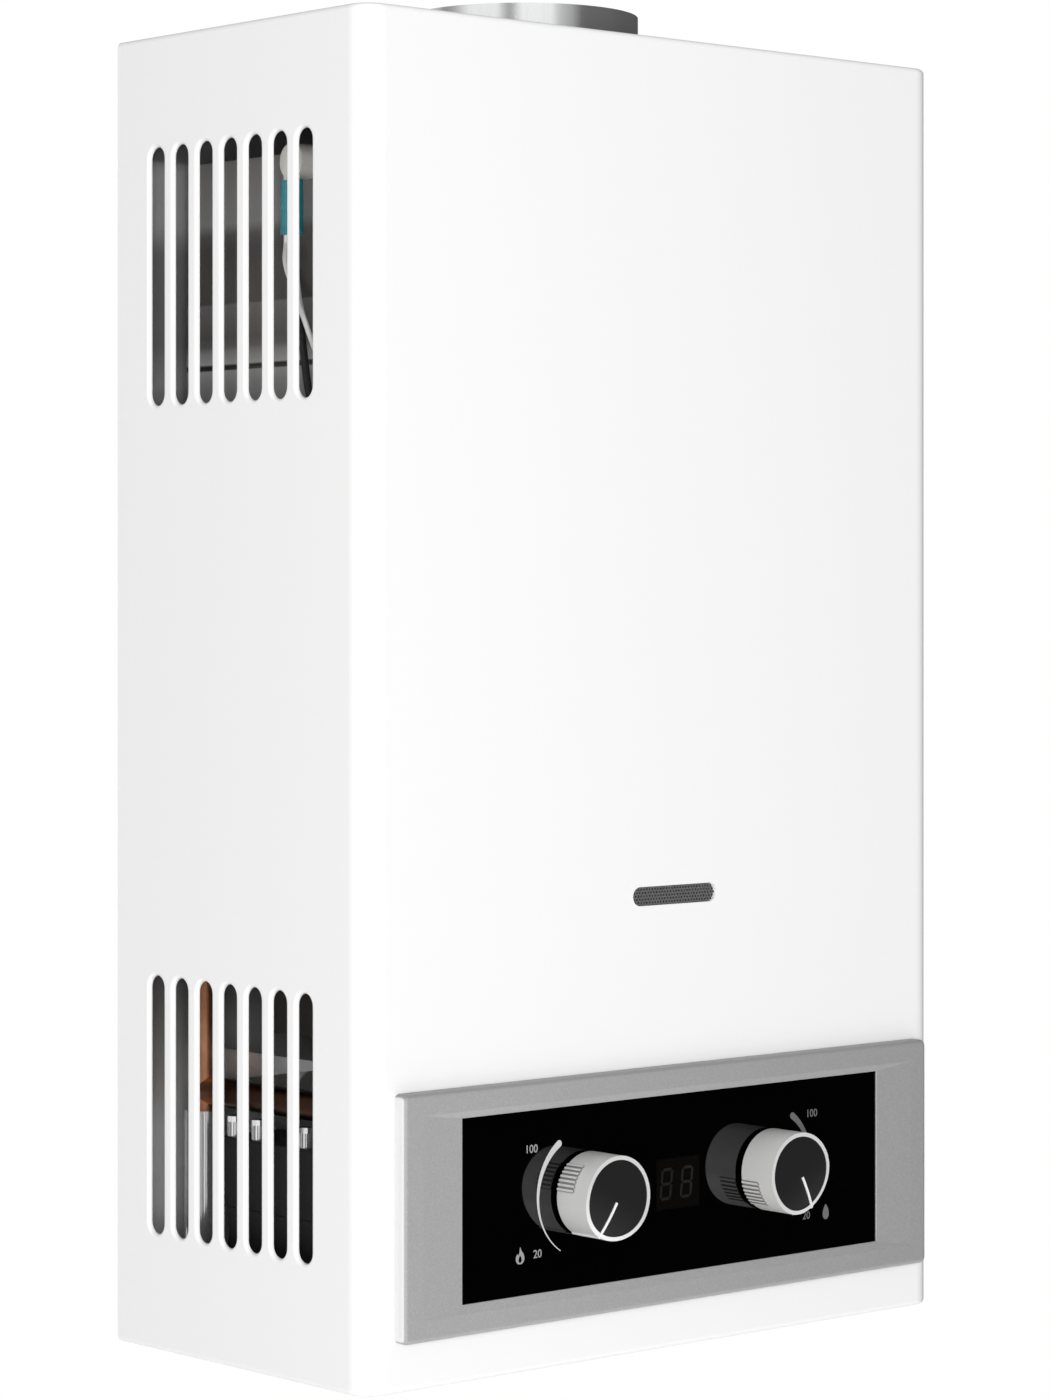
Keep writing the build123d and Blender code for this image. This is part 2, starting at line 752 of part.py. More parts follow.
def make_knob(name, centre_x, angle):
    """Make and keep the three parts of one knob."""
    plane = knob_plane(centre_x, angle)
    with BuildPart() as sleeve:
        with BuildSketch(plane):
            Circle(knob_radius)
        extrude(amount=knob_length)
        with BuildSketch(plane):
            for grip_angle in (90, -90):
                for index in range(rib_count):
                    rib_angle = grip_angle + (index - (rib_count - 1) / 2) * rib_spacing
                    with PolarLocations(knob_radius + rib_height / 2 - 0.5, 1, start_angle=rib_angle):
                        Rectangle(rib_height + 1, rib_width)
        extrude(amount=rib_length)
        with BuildSketch(plane):
            Circle(knob_radius - knob_wall)
        extrude(amount=knob_length, mode=Mode.SUBTRACT)
        cut_bent_face(plane, 0.0)
    keep(sleeve, f"{name}_knob_sleeve")

    with BuildPart() as core:
        with BuildSketch(plane.offset(knob_length - knob_disc_thickness - knob_face_drop)):
            Circle(core_radius)
        extrude(amount=knob_disc_thickness + knob_face_drop)
        with BuildSketch(plane):
            Circle(knob_hub_radius)
        extrude(amount=knob_length - knob_disc_thickness)
        with BuildSketch(plane):
            Circle(spindle_radius + running_fit)
        extrude(amount=spindle_grip + 0.5, mode=Mode.SUBTRACT)
        cut_bent_face(plane, -knob_face_recess)
    keep(core, f"{name}_knob_core")

    across = Plane(origin=plane.origin, x_dir=plane.x_dir, z_dir=-plane.y_dir)
    rib_outer = knob_radius + rib_height
    with BuildPart() as pointer:
        with BuildSketch(across):
            with BuildLine():
                bend_arc(2.0, core_radius, -knob_face_recess)
                Line((core_radius, bend_level(core_radius, -knob_face_recess)),
                     (core_radius, bend_level(core_radius, 0.0)))
                bend_arc(core_radius, knob_radius, 0.0)
                Polyline((knob_radius, bend_level(knob_radius, 0.0)), (knob_radius, 0), (rib_outer, 0),
                         (rib_outer, bend_level(rib_outer, pointer_rise)))
                bend_arc(rib_outer, 2.0, pointer_rise)
                Line((2.0, bend_level(2.0, pointer_rise)), (2.0, bend_level(2.0, -knob_face_recess)))
            make_face()
        extrude(amount=pointer_width / 2, both=True)
    keep(pointer, f"{name}_knob_pointer")


make_knob("gas", gas_valve_x, 180 + knob_rest_angle)
make_knob("water", water_valve_x, -knob_rest_angle)


def make_spindle(name, centre_x, valve_front):
    """Make and keep the spindle from a valve's boss to its knob."""
    inner_end = valve_front + spindle_boss_length - spindle_boss_depth + moving_gap
    with BuildPart() as spindle:
        with BuildSketch(Plane.XZ.offset(inner_end)):
            with Locations((centre_x, knob_z)):
                Circle(spindle_radius)
        extrude(amount=knob_base + spindle_grip - inner_end)
        with BuildSketch(Plane.XZ.offset(knob_base)):
            with Locations((centre_x, knob_z + spindle_radius)):
                Rectangle(2 * spindle_radius, 2 * spindle_flat)
        extrude(amount=spindle_grip, mode=Mode.SUBTRACT)
    keep(spindle, f"{name}_spindle")


make_spindle("gas", gas_valve_x, gas_valve_front)
make_spindle("water", water_valve_x, water_valve_front)

# Flue collar: a flanged neck and the spigot that the flue pipe slides over
spigot_low = top - flue_spigot_overlap
spigot_high = top + flue_rise
with BuildPart() as flue_collar:
    with BuildSketch(Plane.XY.offset(hood_top)):
        with Locations((0, flue_y)):
            Circle(flue_flange_radius)
    extrude(amount=flue_flange_sheet)
    with BuildSketch(Plane.XY.offset(hood_top)):
        with Locations((0, flue_y)):
            Circle(flue_radius - flue_neck_step)
    extrude(amount=spigot_low - hood_top)
    with BuildSketch(Plane.XY.offset(spigot_low)):
        with Locations((0, flue_y)):
            Circle(flue_radius)
    extrude(amount=spigot_high - spigot_low)
    with BuildSketch(Plane.XY.offset(hood_top)):
        with Locations((0, flue_y)):
            Circle(flue_radius - flue_neck_step - flue_wall)
    extrude(amount=spigot_high - hood_top, mode=Mode.SUBTRACT)
keep(flue_collar, "flue_collar")


def rounded_frame(low, high, width, depth, centre_y, radius, wall):
    """Add a sheet-metal ring, rounded at its upright corners, to the part being made."""
    with BuildSketch(Plane.XY.offset(low)) as ring:
        with Locations((0, centre_y)):
            RectangleRounded(width, depth, radius)
            RectangleRounded(width - 2 * wall, depth - 2 * wall, radius - wall, mode=Mode.SUBTRACT)
    extrude(ring.sketch, amount=high - low)


# Draft hood: a box open below, with the flue opening in its top
with BuildPart() as draft_hood:
    inset = 2 * hood_seam_step
    rounded_frame(hood_seam, hood_top, hood_width - inset, hood_depth - inset, hood_y,
                  hood_corner_radius - hood_seam_step, hood_sheet)
    with BuildSketch(Plane.XY.offset(hood_top - hood_sheet)):
        with Locations((0, hood_y)):
            RectangleRounded(hood_width - inset, hood_depth - inset, hood_corner_radius - hood_seam_step)
        with Locations((0, flue_y)):
            Circle(flue_radius - flue_neck_step - flue_wall, mode=Mode.SUBTRACT)
    extrude(amount=hood_sheet)
keep(draft_hood, "draft_hood")

# Collector: the band between the heat exchanger and the hood, with a shadow groove
with BuildPart() as flue_collector:
    rounded_frame(collector_bottom, hood_seam, hood_width, hood_depth, hood_y, hood_corner_radius,
                  collector_groove_depth + hood_sheet)
    with BuildSketch(Plane.XY.offset(collector_groove)):
        with Locations((0, hood_y)):
            RectangleRounded(hood_width + 2, hood_depth + 2, hood_corner_radius + 1)
            RectangleRounded(hood_width - 2 * collector_groove_depth, hood_depth - 2 * collector_groove_depth,
                             hood_corner_radius - collector_groove_depth, mode=Mode.SUBTRACT)
    extrude(amount=collector_groove_height, mode=Mode.SUBTRACT)
    # Shelf that sits on the heat exchanger's shell
    with BuildSketch(Plane.XY.offset(collector_groove - hood_sheet)):
        with Locations((0, hood_y)):
            RectangleRounded(hood_width - 1, hood_depth - 1, hood_corner_radius)
        with Locations((0, exchanger_y)):
            RectangleRounded(exchanger_width - 2 * exchanger_sheet, exchanger_depth - 2 * exchanger_sheet,
                             exchanger_corner_radius - exchanger_sheet, mode=Mode.SUBTRACT)
    extrude(amount=hood_sheet)
keep(flue_collector, "flue_collector")

# Heat exchanger shell, with a sight hole in line with the flame window
exchanger_top = collector_groove - hood_sheet
tube_rows = [exchanger_y + (index - (tube_count - 1) / 2) * tube_spacing for index in range(tube_count)]
with BuildPart() as exchanger_shell:
    rounded_frame(exchanger_bottom, exchanger_top, exchanger_width, exchanger_depth, exchanger_y,
                  exchanger_corner_radius, exchanger_sheet)
    with BuildSketch(Plane.XZ.offset(-exchanger_front)):
        with Locations((window_x, window_z)):
            SlotOverall(sight_hole_width, sight_hole_height)
        with Locations((electrode_x, electrode_z)):
            with GridLocations(electrode_spacing, 0, 2, 1):
                Circle(electrode_radius + seat_gap)
    extrude(amount=-4 * exchanger_sheet, mode=Mode.SUBTRACT)
    with BuildSketch(Plane.YZ.offset(-exchanger_width)):
        with Locations(*[(row_y, fin_z) for row_y in tube_rows]):
            Circle(tube_radius + glue_gap)
    extrude(amount=2 * exchanger_width, mode=Mode.SUBTRACT)
keep(exchanger_shell, "exchanger_shell")

# Fins: thin plates across the flue gas, threaded on the water tubes
with BuildPart() as exchanger_fins:
    fin_length = exchanger_depth - 2 * (exchanger_sheet + fin_side_gap)
    for index in range(fin_count):
        fin_x = (index - (fin_count - 1) / 2) * fin_pitch - fin_sheet / 2
        with BuildSketch(Plane.YZ.offset(fin_x)):
            with Locations((exchanger_y, fin_z)):
                Rectangle(fin_length, fin_height)
            with Locations(*[(row_y, fin_z) for row_y in tube_rows]):
                Circle(tube_radius + glue_gap, mode=Mode.SUBTRACT)
        extrude(amount=fin_sheet)
keep(exchanger_fins, "exchanger_fins")

# Water tubes: one serpentine through the fins, its return bends outside the shell
tube_end = exchanger_width / 2
bend_x = tube_end + tube_bend_reach
serpentine = [(tube_end, tube_rows[-1], fin_z)]
for index in range(tube_count - 1, 0, -1):
    side = -1 if (tube_count - index) % 2 else 1
    turn_x = side * (bend_x + tube_spacing / 2)
    serpentine.append((turn_x, tube_rows[index], fin_z))
    serpentine.append((turn_x, tube_rows[index - 1], fin_z))
serpentine.append((-tube_end if tube_count % 2 else tube_end, tube_rows[0], fin_z))
exchanger_tubes = swept_tube(serpentine, tube_radius, bend=0.4999 * tube_spacing)
keep(exchanger_tubes, "exchanger_tubes")

# Brass elbows at the two ends of the serpentine
inlet_elbow_y = tube_rows[-1]
outlet_elbow_y = tube_rows[0]
with BuildPart() as exchanger_elbows:
    for side, elbow_y in ((1, inlet_elbow_y), (-1, outlet_elbow_y)):
        with BuildSketch(Plane.YZ.offset(side * tube_end)):
            with Locations((elbow_y, fin_z)):
                RectangleRounded(elbow_size, elbow_size, 3)
        extrude(amount=side * elbow_size)
keep(exchanger_elbows, "exchanger_elbows")

# Coil: one unbroken tube from the water valve that climbs round the shell at a steady rate
coil_x = exchanger_width / 2 + coil_offset
coil_back = exchanger_back + coil_offset
coil_front = exchanger_front - coil_offset
coil_corners = [(coil_x, coil_back), (-coil_x, coil_back), (-coil_x, coil_front), (coil_x, coil_front)]


def coil_route():
    """Corners of the coil, each raised by its share of the way round one turn."""
    lap = 2 * (2 * coil_x) + 2 * (coil_back - coil_front)
    place = (coil_x, valve_y)
    travelled = 0.0
    points = [(union_right, valve_y, valve_z), (coil_x, valve_y, valve_z), (*place, coil_start_z)]
    for _ in range(coil_turns):
        for corner in coil_corners:
            travelled += hypot(corner[0] - place[0], corner[1] - place[1])
            points.append((*corner, coil_start_z + coil_pitch * travelled / lap))
            place = corner
    return points


coil_points = coil_route()
coil_end_z = coil_points[-1][2] + coil_pitch / 6
coil_points.append((coil_x, inlet_elbow_y, coil_end_z))
coil_points.append((coil_x, inlet_elbow_y, fin_z - elbow_size / 2))
water_coil = swept_tube(coil_points, tube_radius, bend=coil_corner_radius)
keep(water_coil, "water_coil")


def least_gap(points, radius):
    """Least clear distance between two turns, measured between the corners and middles of the route."""
    spots = []
    for start, end in zip(points, points[1:]):
        spots += [tuple(a + (b - a) * step / 12 for a, b in zip(start, end)) for step in range(12)]
    gaps = []
    for index, spot in enumerate(spots):
        for other in spots[index + 24:]:
            gaps.append(hypot(*(a - b for a, b in zip(spot, other))) - 2 * radius)
    return min(gaps)


print("least gap between the turns of the coil:", round(least_gap(coil_points, tube_radius), 1))

# Brackets from the wall plate to the shell, the burner and the gas valve
bracket_sheet = 2.0
bracket_width = 24.0
bracket_places = [(-60, fin_z - 6, -exchanger_back), (60, fin_z - 6, -exchanger_back),
                  (-60, burner_bottom + 30, -(exchanger_y + burner_depth / 2)),
                  (60, burner_bottom + 30, -(exchanger_y + burner_depth / 2)),
                  (gas_valve_x, valve_z, -(valve_y + gas_valve_depth / 2))]
with BuildPart() as mounting_brackets:
    for place_x, place_z, reach in bracket_places:
        with BuildSketch(Plane.YZ.offset(place_x - bracket_width / 2)):
            with BuildLine():
                foot = bracket_width / 2
                Polyline((-wall_sheet, place_z + foot), (-wall_sheet, place_z - bracket_sheet / 2),
                         (-reach, place_z - bracket_sheet / 2), (-reach, place_z + foot),
                         (-reach + bracket_sheet, place_z + foot),
                         (-reach + bracket_sheet, place_z + bracket_sheet / 2),
                         (-wall_sheet - bracket_sheet, place_z + bracket_sheet / 2),
                         (-wall_sheet - bracket_sheet, place_z + foot), close=True)
            make_face()
        extrude(amount=bracket_width)
    # Tapered arm along the left side, with its foot on the wall plate
    with BuildSketch(Plane.YZ.offset(side_rail_x)):
        with BuildLine():
            Polyline((-wall_sheet, side_rail_top), (-wall_sheet, side_rail_top - side_rail_root),
                     (-side_rail_reach, side_rail_top - side_rail_end), (-side_rail_reach, side_rail_top),
                     close=True)
        make_face()
    extrude(amount=-side_rail_sheet)
    with BuildSketch(Plane.XZ.offset(wall_sheet)):
        with Locations((side_rail_x + bracket_width / 4, side_rail_top - side_rail_root / 2)):
            Rectangle(bracket_width / 2, side_rail_root)
    extrude(amount=bracket_sheet)
keep(mounting_brackets, "mounting_brackets")

# Burner tray: a sheet box that stands in the shell and holds the burner bars
bar_places = [(index - (bar_count - 1) / 2) * bar_pitch for index in range(bar_count)]
with BuildPart() as burner_tray:
    with BuildSketch(Plane.XY.offset(burner_bottom)):
        with Locations((0, exchanger_y)):
            Rectangle(burner_width, burner_depth)
    extrude(amount=burner_top - burner_bottom)
    fillet(burner_tray.edges().filter_by(Axis.Z), exchanger_corner_radius - exchanger_sheet)
    with BuildSketch(Plane.XY.offset(burner_bottom + burner_sheet)):
        with Locations((0, exchanger_y)):
            RectangleRounded(burner_width - 2 * burner_sheet, burner_depth - 2 * burner_sheet,
                             exchanger_corner_radius - exchanger_sheet - burner_sheet)
    extrude(amount=burner_top - burner_bottom, mode=Mode.SUBTRACT)
    with BuildSketch(Plane.XY.offset(burner_bottom)):
        with Locations((0, exchanger_y)):
            Rectangle(2 * burner_floor_opening, burner_depth / 2)
    extrude(amount=burner_sheet, mode=Mode.SUBTRACT)
    with BuildSketch(Plane.XZ.offset(-exchanger_y)):
        with Locations((0, venturi_z)):
            with GridLocations(bar_pitch, 0, bar_count, 1):
                Circle(venturi_radius + seat_gap)
    extrude(amount=burner_depth, mode=Mode.SUBTRACT)
keep(burner_tray, "burner_tray")

# Burner bars: each a flat slotted bar over a venturi tube
bar_top = burner_top - 2.0
venturi_front = -(exchanger_y - burner_depth / 2) + venturi_reach
with BuildPart() as burner_bars:
    with BuildSketch(Plane.XY.offset(venturi_z)):
        with Locations((0, exchanger_y)):
            with GridLocations(bar_pitch, 0, bar_count, 1):
                Rectangle(bar_width, bar_depth)
    extrude(amount=bar_top - venturi_z)
    with BuildSketch(Plane.XZ.offset(-(exchanger_y + bar_depth / 2))):
        with Locations((0, venturi_z)):
            with GridLocations(bar_pitch, 0, bar_count, 1):
                Circle(venturi_radius)
    extrude(amount=venturi_front + exchanger_y + bar_depth / 2)
    with BuildSketch(Plane.XZ.offset(venturi_front)):
        with Locations((0, venturi_z)):
            with GridLocations(bar_pitch, 0, bar_count, 1):
                Circle(venturi_bore)
    extrude(amount=-(venturi_front + exchanger_y), mode=Mode.SUBTRACT)
    with BuildSketch(Plane.XY.offset(bar_top)):
        with Locations((0, exchanger_y)):
            with GridLocations(bar_pitch, (bar_depth - 8) / bar_slot_count, bar_count, bar_slot_count):
                Rectangle(bar_width - 2, bar_slot_width)
    extrude(amount=-bar_slot_depth, mode=Mode.SUBTRACT)
keep(burner_bars, "burner_bars")

# Gas manifold with a nozzle in front of each venturi
manifold_back = -manifold_y - manifold_size / 2
with BuildPart() as gas_manifold:
    with BuildSketch(Plane.YZ.offset(-manifold_length / 2)):
        with Locations((manifold_y, venturi_z)):
            RectangleRounded(manifold_size, manifold_size, 2)
    extrude(amount=manifold_length)
    # Straps to the front of the burner tray
    strap_low = venturi_z + manifold_size / 2
    strap_back = -(exchanger_y - burner_depth / 2)
    with BuildSketch(Plane.XY.offset(strap_low)):
        with Locations((0, -(strap_back - manifold_y) / 2)):
            with GridLocations(strap_spacing, 0, 2, 1):
                Rectangle(strap_width, -manifold_y - strap_back)
    extrude(amount=strap_sheet)
    with BuildSketch(Plane.XZ.offset(strap_back)):
        with Locations((0, strap_low + strap_upstand / 2)):
            with GridLocations(strap_spacing, 0, 2, 1):
                Rectangle(strap_width, strap_upstand)
    extrude(amount=strap_sheet)
keep(gas_manifold, "gas_manifold")

with BuildPart() as gas_nozzles:
    with BuildSketch(Plane.XZ.offset(manifold_back)):
        with Locations((0, venturi_z)):
            with GridLocations(bar_pitch, 0, bar_count, 1):
                RegularPolygon(nozzle_radius, 6)
    extrude(amount=-nozzle_length)
    with BuildSketch(Plane.XZ.offset(manifold_back - nozzle_length)):
        with Locations((0, venturi_z)):
            with GridLocations(bar_pitch, 0, bar_count, 1):
                Circle(nozzle_tip_radius)
    extrude(amount=-nozzle_tip_length)
keep(gas_nozzles, "gas_nozzles")

# Electrodes: porcelain bushings through the shell, each with a rod bent down to the burner
electrode_places = [(electrode_x + side * electrode_spacing / 2, electrode_z) for side in (-1, 1)]
shell_front = -exchanger_front
with BuildPart() as electrode_insulators:
    with BuildSketch(Plane.XZ.offset(shell_front + electrode_outer)):
        with Locations(*electrode_places):
            Circle(electrode_radius)
    extrude(amount=-(electrode_outer + electrode_inner))
    with BuildSketch(Plane.XZ.offset(shell_front)):
        with Locations(*electrode_places):
            Circle(electrode_flange_radius)
    extrude(amount=electrode_flange_length)
    with BuildSketch(Plane.XZ.offset(shell_front + electrode_outer - 2)):
        with Locations(*electrode_places):
            Circle(electrode_rod_radius)
    extrude(amount=-(electrode_outer + electrode_inner), mode=Mode.SUBTRACT)
keep(electrode_insulators, "electrode_insulators")

rod_tip_y = -(shell_front - electrode_inner - electrode_rod_reach)
rods = []
for place_x, place_z in electrode_places:
    rods.append(swept_tube([(place_x, -(shell_front + electrode_outer - 2), place_z),
                            (place_x, rod_tip_y, place_z),
                            (place_x, rod_tip_y, burner_top + 3)], electrode_rod_radius, bend=4.0))
with BuildPart() as electrode_rods:
    add([rod.part for rod in rods])
keep(electrode_rods, "electrode_rods")


def bushing(centre_x, valve_front):
    """Add the spindle boss with its bore to the valve being made."""
    with BuildSketch(Plane.XZ.offset(valve_front)) as boss:
        with Locations((centre_x, knob_z)):
            Circle(spindle_boss_radius)
    extrude(boss.sketch, amount=spindle_boss_length)
    with BuildSketch(Plane.XZ.offset(valve_front + spindle_boss_length)) as bore:
        with Locations((centre_x, knob_z)):
            Circle(spindle_radius + running_fit)
    extrude(bore.sketch, amount=-spindle_boss_depth, mode=Mode.SUBTRACT)


def cylinder_along_x(start, end, radius, mode=Mode.ADD):
    """A cylinder on the push rod's axis, added to or cut from the part being made."""
    with BuildSketch(Plane.YZ.offset(start)) as disc:
        with Locations((valve_y, valve_z)):
            Circle(radius)
    extrude(disc.sketch, amount=end - start, mode=mode)


# Gas valve: a cast block with the solenoid on its left and the water-operated poppet on its right
with BuildPart() as gas_valve_body:
    with BuildSketch(Plane.XY.offset(valve_z - gas_valve_height / 2)):
        with Locations((gas_valve_x, valve_y)):
            RectangleRounded(gas_valve_width, gas_valve_depth, 4)
    extrude(amount=gas_valve_height)
    bushing(gas_valve_x, gas_valve_front)
    cylinder_along_x(gas_valve_left, gas_valve_left + solenoid_pocket_depth, solenoid_pocket_radius,
                     Mode.SUBTRACT)
    cylinder_along_x(gas_valve_right, gas_valve_right - poppet_bore_depth, poppet_bore, Mode.SUBTRACT)
keep(gas_valve_body, "gas_valve_body")

solenoid_left = gas_valve_left - solenoid_length
plunger_right = gas_valve_left + solenoid_pocket_depth - moving_gap
plunger_left = plunger_right - plunger_disc_thickness - plunger_length
with BuildPart() as solenoid_coil:
    cylinder_along_x(solenoid_left, gas_valve_left, solenoid_winding_radius)
    cylinder_along_x(solenoid_left, solenoid_left + solenoid_flange, solenoid_radius)
    cylinder_along_x(gas_valve_left - solenoid_flange, gas_valve_left, solenoid_radius)
    cylinder_along_x(plunger_left - plunger_travel - moving_gap, gas_valve_left,
                     plunger_radius + running_fit, Mode.SUBTRACT)
keep(solenoid_coil, "solenoid_coil")

with BuildPart() as solenoid_plunger:
    cylinder_along_x(plunger_left, plunger_right, plunger_radius)
    cylinder_along_x(plunger_right - plunger_disc_thickness, plunger_right, plunger_disc_radius)
keep(solenoid_plunger, "solenoid_plunger")

gas_riser = swept_tube([(gas_valve_x, valve_y, valve_z + gas_valve_height / 2),
                        (gas_valve_x, valve_y, gas_pipe_z),
                        (gas_valve_x, manifold_y, gas_pipe_z),
                        (gas_valve_x, manifold_y, venturi_z - manifold_size / 2)],
                       gas_pipe_radius, bend=gas_pipe_bend)
keep(gas_riser, "gas_riser")

# Yoke between the two valves: guides the push rod and carries the switch
lever_x = -(rod_collar_length / 2 + seat_gap + lever_tip_radius)
pivot_z = valve_z + lever_rise + lever_arm
switch_bottom = pivot_z + switch_pivot_drop
switch_x = lever_x + switch_width / 8
switch_back = valve_y + switch_depth / 2
with BuildPart() as valve_yoke:
    for start, end in ((gas_valve_right, gas_valve_right + yoke_sheet),
                       (chamber_left - yoke_sheet, chamber_left)):
        with BuildSketch(Plane.YZ.offset(start)):
            with Locations((valve_y, valve_z)):
                RectangleRounded(yoke_width, yoke_height, 3)
        extrude(amount=end - start)
    with BuildSketch(Plane.YZ.offset(gas_valve_right)):
        with Locations((valve_y, valve_z)):
            with GridLocations(yoke_width - yoke_bar_thickness, 0, 2, 1):
                Rectangle(yoke_bar_thickness, yoke_bar_height)
    extrude(amount=chamber_left - gas_valve_right)
    # Bracket behind the switch
    with BuildSketch(Plane.YZ.offset(switch_x - switch_width / 2)):
        with BuildLine():
            bar_y = valve_y + yoke_width / 2
            shelf_low = valve_z + switch_shelf_z
            Polyline((bar_y, valve_z), (bar_y, shelf_low + switch_shelf_sheet),
                     (switch_back + switch_shelf_sheet, shelf_low + switch_shelf_sheet),
                     (switch_back + switch_shelf_sheet, switch_bottom + switch_height),
                     (switch_back, switch_bottom + switch_height), (switch_back, shelf_low),
                     (bar_y - yoke_bar_thickness, shelf_low), (bar_y - yoke_bar_thickness, valve_z),
                     close=True)
        make_face()
    extrude(amount=switch_width)
    cylinder_along_x(gas_valve_right, gas_valve_right + gland_length, gland_radius)
    cylinder_along_x(gas_valve_right, gas_valve_right + gland_length, rod_radius + running_fit, Mode.SUBTRACT)
    cylinder_along_x(chamber_left - yoke_sheet, chamber_left, rod_collar_radius, Mode.SUBTRACT)
keep(valve_yoke, "valve_yoke")

plate_right = cover_x - seat_gap
poppet_right = gas_valve_right - poppet_inset + poppet_thickness
with BuildPart() as push_rod:
    cylinder_along_x(poppet_right - poppet_thickness, plate_right, rod_radius)
    cylinder_along_x(plate_right - rod_plate_thickness, plate_right, rod_plate_radius)
    cylinder_along_x(-rod_collar_length / 2, rod_collar_length / 2, rod_collar_radius)
    cylinder_along_x(poppet_right - poppet_thickness, poppet_right, poppet_radius)
keep(push_rod, "push_rod")

# Water switch, worked by the collar of the push rod
with BuildPart() as microswitch:
    with BuildSketch(Plane.XZ.offset(-valve_y - switch_depth / 2)):
        with Locations((switch_x, switch_bottom + switch_height / 2)):
            Rectangle(switch_width, switch_height)
        with Locations((lever_x, pivot_z)):
            Circle(switch_ear_radius)
        with Locations((lever_x, pivot_z + switch_pivot_drop / 2)):
            Rectangle(2 * switch_ear_radius, switch_pivot_drop)
        with Locations((lever_x, pivot_z)):
            Circle(lever_pin_radius + running_fit, mode=Mode.SUBTRACT)
    extrude(amount=switch_depth)
    # Room for the lever between the ears
    with BuildSketch(Plane.XZ.offset(-valve_y - switch_depth / 2 + switch_ear_wall)):
        with Locations((lever_x, pivot_z - switch_ear_radius)):
            Rectangle(2 * switch_ear_radius, 2 * (switch_pivot_drop + switch_ear_radius))
    extrude(amount=switch_depth - 2 * switch_ear_wall, mode=Mode.SUBTRACT)
keep(microswitch, "microswitch")

with BuildPart() as microswitch_lever:
    half_width = switch_depth / 2 - switch_ear_wall - moving_gap
    with BuildSketch(Plane.XZ.offset(-valve_y - half_width)):
        with Locations((lever_x, pivot_z)):
            Circle(lever_radius)
        with Locations((lever_x, pivot_z - lever_arm / 2)):
            Rectangle(lever_sheet, lever_arm)
        with Locations((lever_x, pivot_z - lever_arm)):
            Circle(lever_tip_radius)
    extrude(amount=2 * half_width)
    with BuildSketch(Plane.XZ.offset(-valve_y - switch_depth / 2)):
        with Locations((lever_x, pivot_z)):
            Circle(lever_pin_radius)
    extrude(amount=switch_depth)
keep(microswitch_lever, "microswitch_lever")

# Water valve: chamber and cover with the diaphragm clamped between them
screw_circle = (chamber_radius + chamber_bore) / 2


def chamber_holes(start, end):
    """Cut the screw holes of the chamber from the part being made."""
    with BuildSketch(Plane.YZ.offset(start)) as holes:
        with Locations((valve_y, valve_z)):
            with PolarLocations(screw_circle, valve_screw_count, start_angle=30):
                Circle(valve_screw_radius + seat_gap)
    extrude(holes.sketch, amount=end - start, mode=Mode.SUBTRACT)


with BuildPart() as water_valve_body:
    cylinder_along_x(diaphragm_x, water_valve_left, chamber_radius)
    with BuildSketch(Plane.XY.offset(valve_z - water_valve_height / 2)):
        with Locations(((water_valve_left + water_valve_right) / 2, valve_y)):
            Rectangle(water_valve_width, water_valve_depth)
    extrude(amount=water_valve_height)
    bushing(water_valve_x, water_valve_front)
    cylinder_along_x(water_valve_right, water_valve_right + union_neck, union_size / 2)
    with BuildSketch(Plane.YZ.offset(water_valve_right + union_neck)):
        with Locations((valve_y, valve_z)):
            RegularPolygon(hexagon(union_size), 6, rotation=30)
    extrude(amount=union_length)
    drain_bottom = valve_z - chamber_radius - drain_boss_drop
    with BuildSketch(Plane.XY.offset(drain_bottom)):
        with Locations((drain_x, valve_y)):
            Rectangle(chamber_body_depth, drain_boss_width)
    extrude(amount=valve_z - chamber_bore - 2 - drain_bottom)
    cylinder_along_x(diaphragm_x, diaphragm_x + chamber_cavity, chamber_bore, Mode.SUBTRACT)
    chamber_holes(diaphragm_x, diaphragm_x + chamber_cavity)
keep(water_valve_body, "water_valve_body")

with BuildPart() as water_valve_cover:
    cylinder_along_x(chamber_left, cover_x, chamber_radius)
    cylinder_along_x(cover_x - chamber_cavity, cover_x, chamber_bore, Mode.SUBTRACT)
    cylinder_along_x(chamber_left, cover_x, rod_radius + running_fit, Mode.SUBTRACT)
    chamber_holes(chamber_left, cover_x)
keep(water_valve_cover, "water_valve_cover")

with BuildPart() as valve_diaphragm:
    cylinder_along_x(cover_x, diaphragm_x, chamber_radius)
    chamber_holes(cover_x, diaphragm_x)
keep(valve_diaphragm, "valve_diaphragm")

with BuildPart() as valve_screws:
    with BuildSketch(Plane.YZ.offset(chamber_left - valve_screw_head_length)):
        with Locations((valve_y, valve_z)):
            with PolarLocations(screw_circle, valve_screw_count, start_angle=30):
                RegularPolygon(valve_screw_head_radius, 6)
    extrude(amount=valve_screw_head_length)
    with BuildSketch(Plane.YZ.offset(chamber_left)):
        with Locations((valve_y, valve_z)):
            with PolarLocations(screw_circle, valve_screw_count, start_angle=30):
                Circle(valve_screw_radius)
    extrude(amount=diaphragm_x + chamber_cavity - chamber_left)
keep(valve_screws, "valve_screws")

with BuildPart() as drain_plug:
    knob_low = bottom - drain_knob_height / 2
    with BuildSketch(Plane.XY.offset(knob_low)):
        with Locations((drain_x, valve_y)):
            Circle(drain_knob_radius)
    extrude(amount=drain_knob_height)
    with BuildSketch(Plane.XY.offset(knob_low)):
        with Locations((drain_x, valve_y)):
            Circle(drain_stem_radius)
    extrude(amount=drain_bottom - knob_low)
    # Coin slot
    with BuildSketch(Plane.XY.offset(knob_low)):
        with Locations((drain_x, valve_y)):
            Rectangle(2 * drain_knob_radius, 2)
    extrude(amount=2, mode=Mode.SUBTRACT)
keep(drain_plug, "drain_plug")


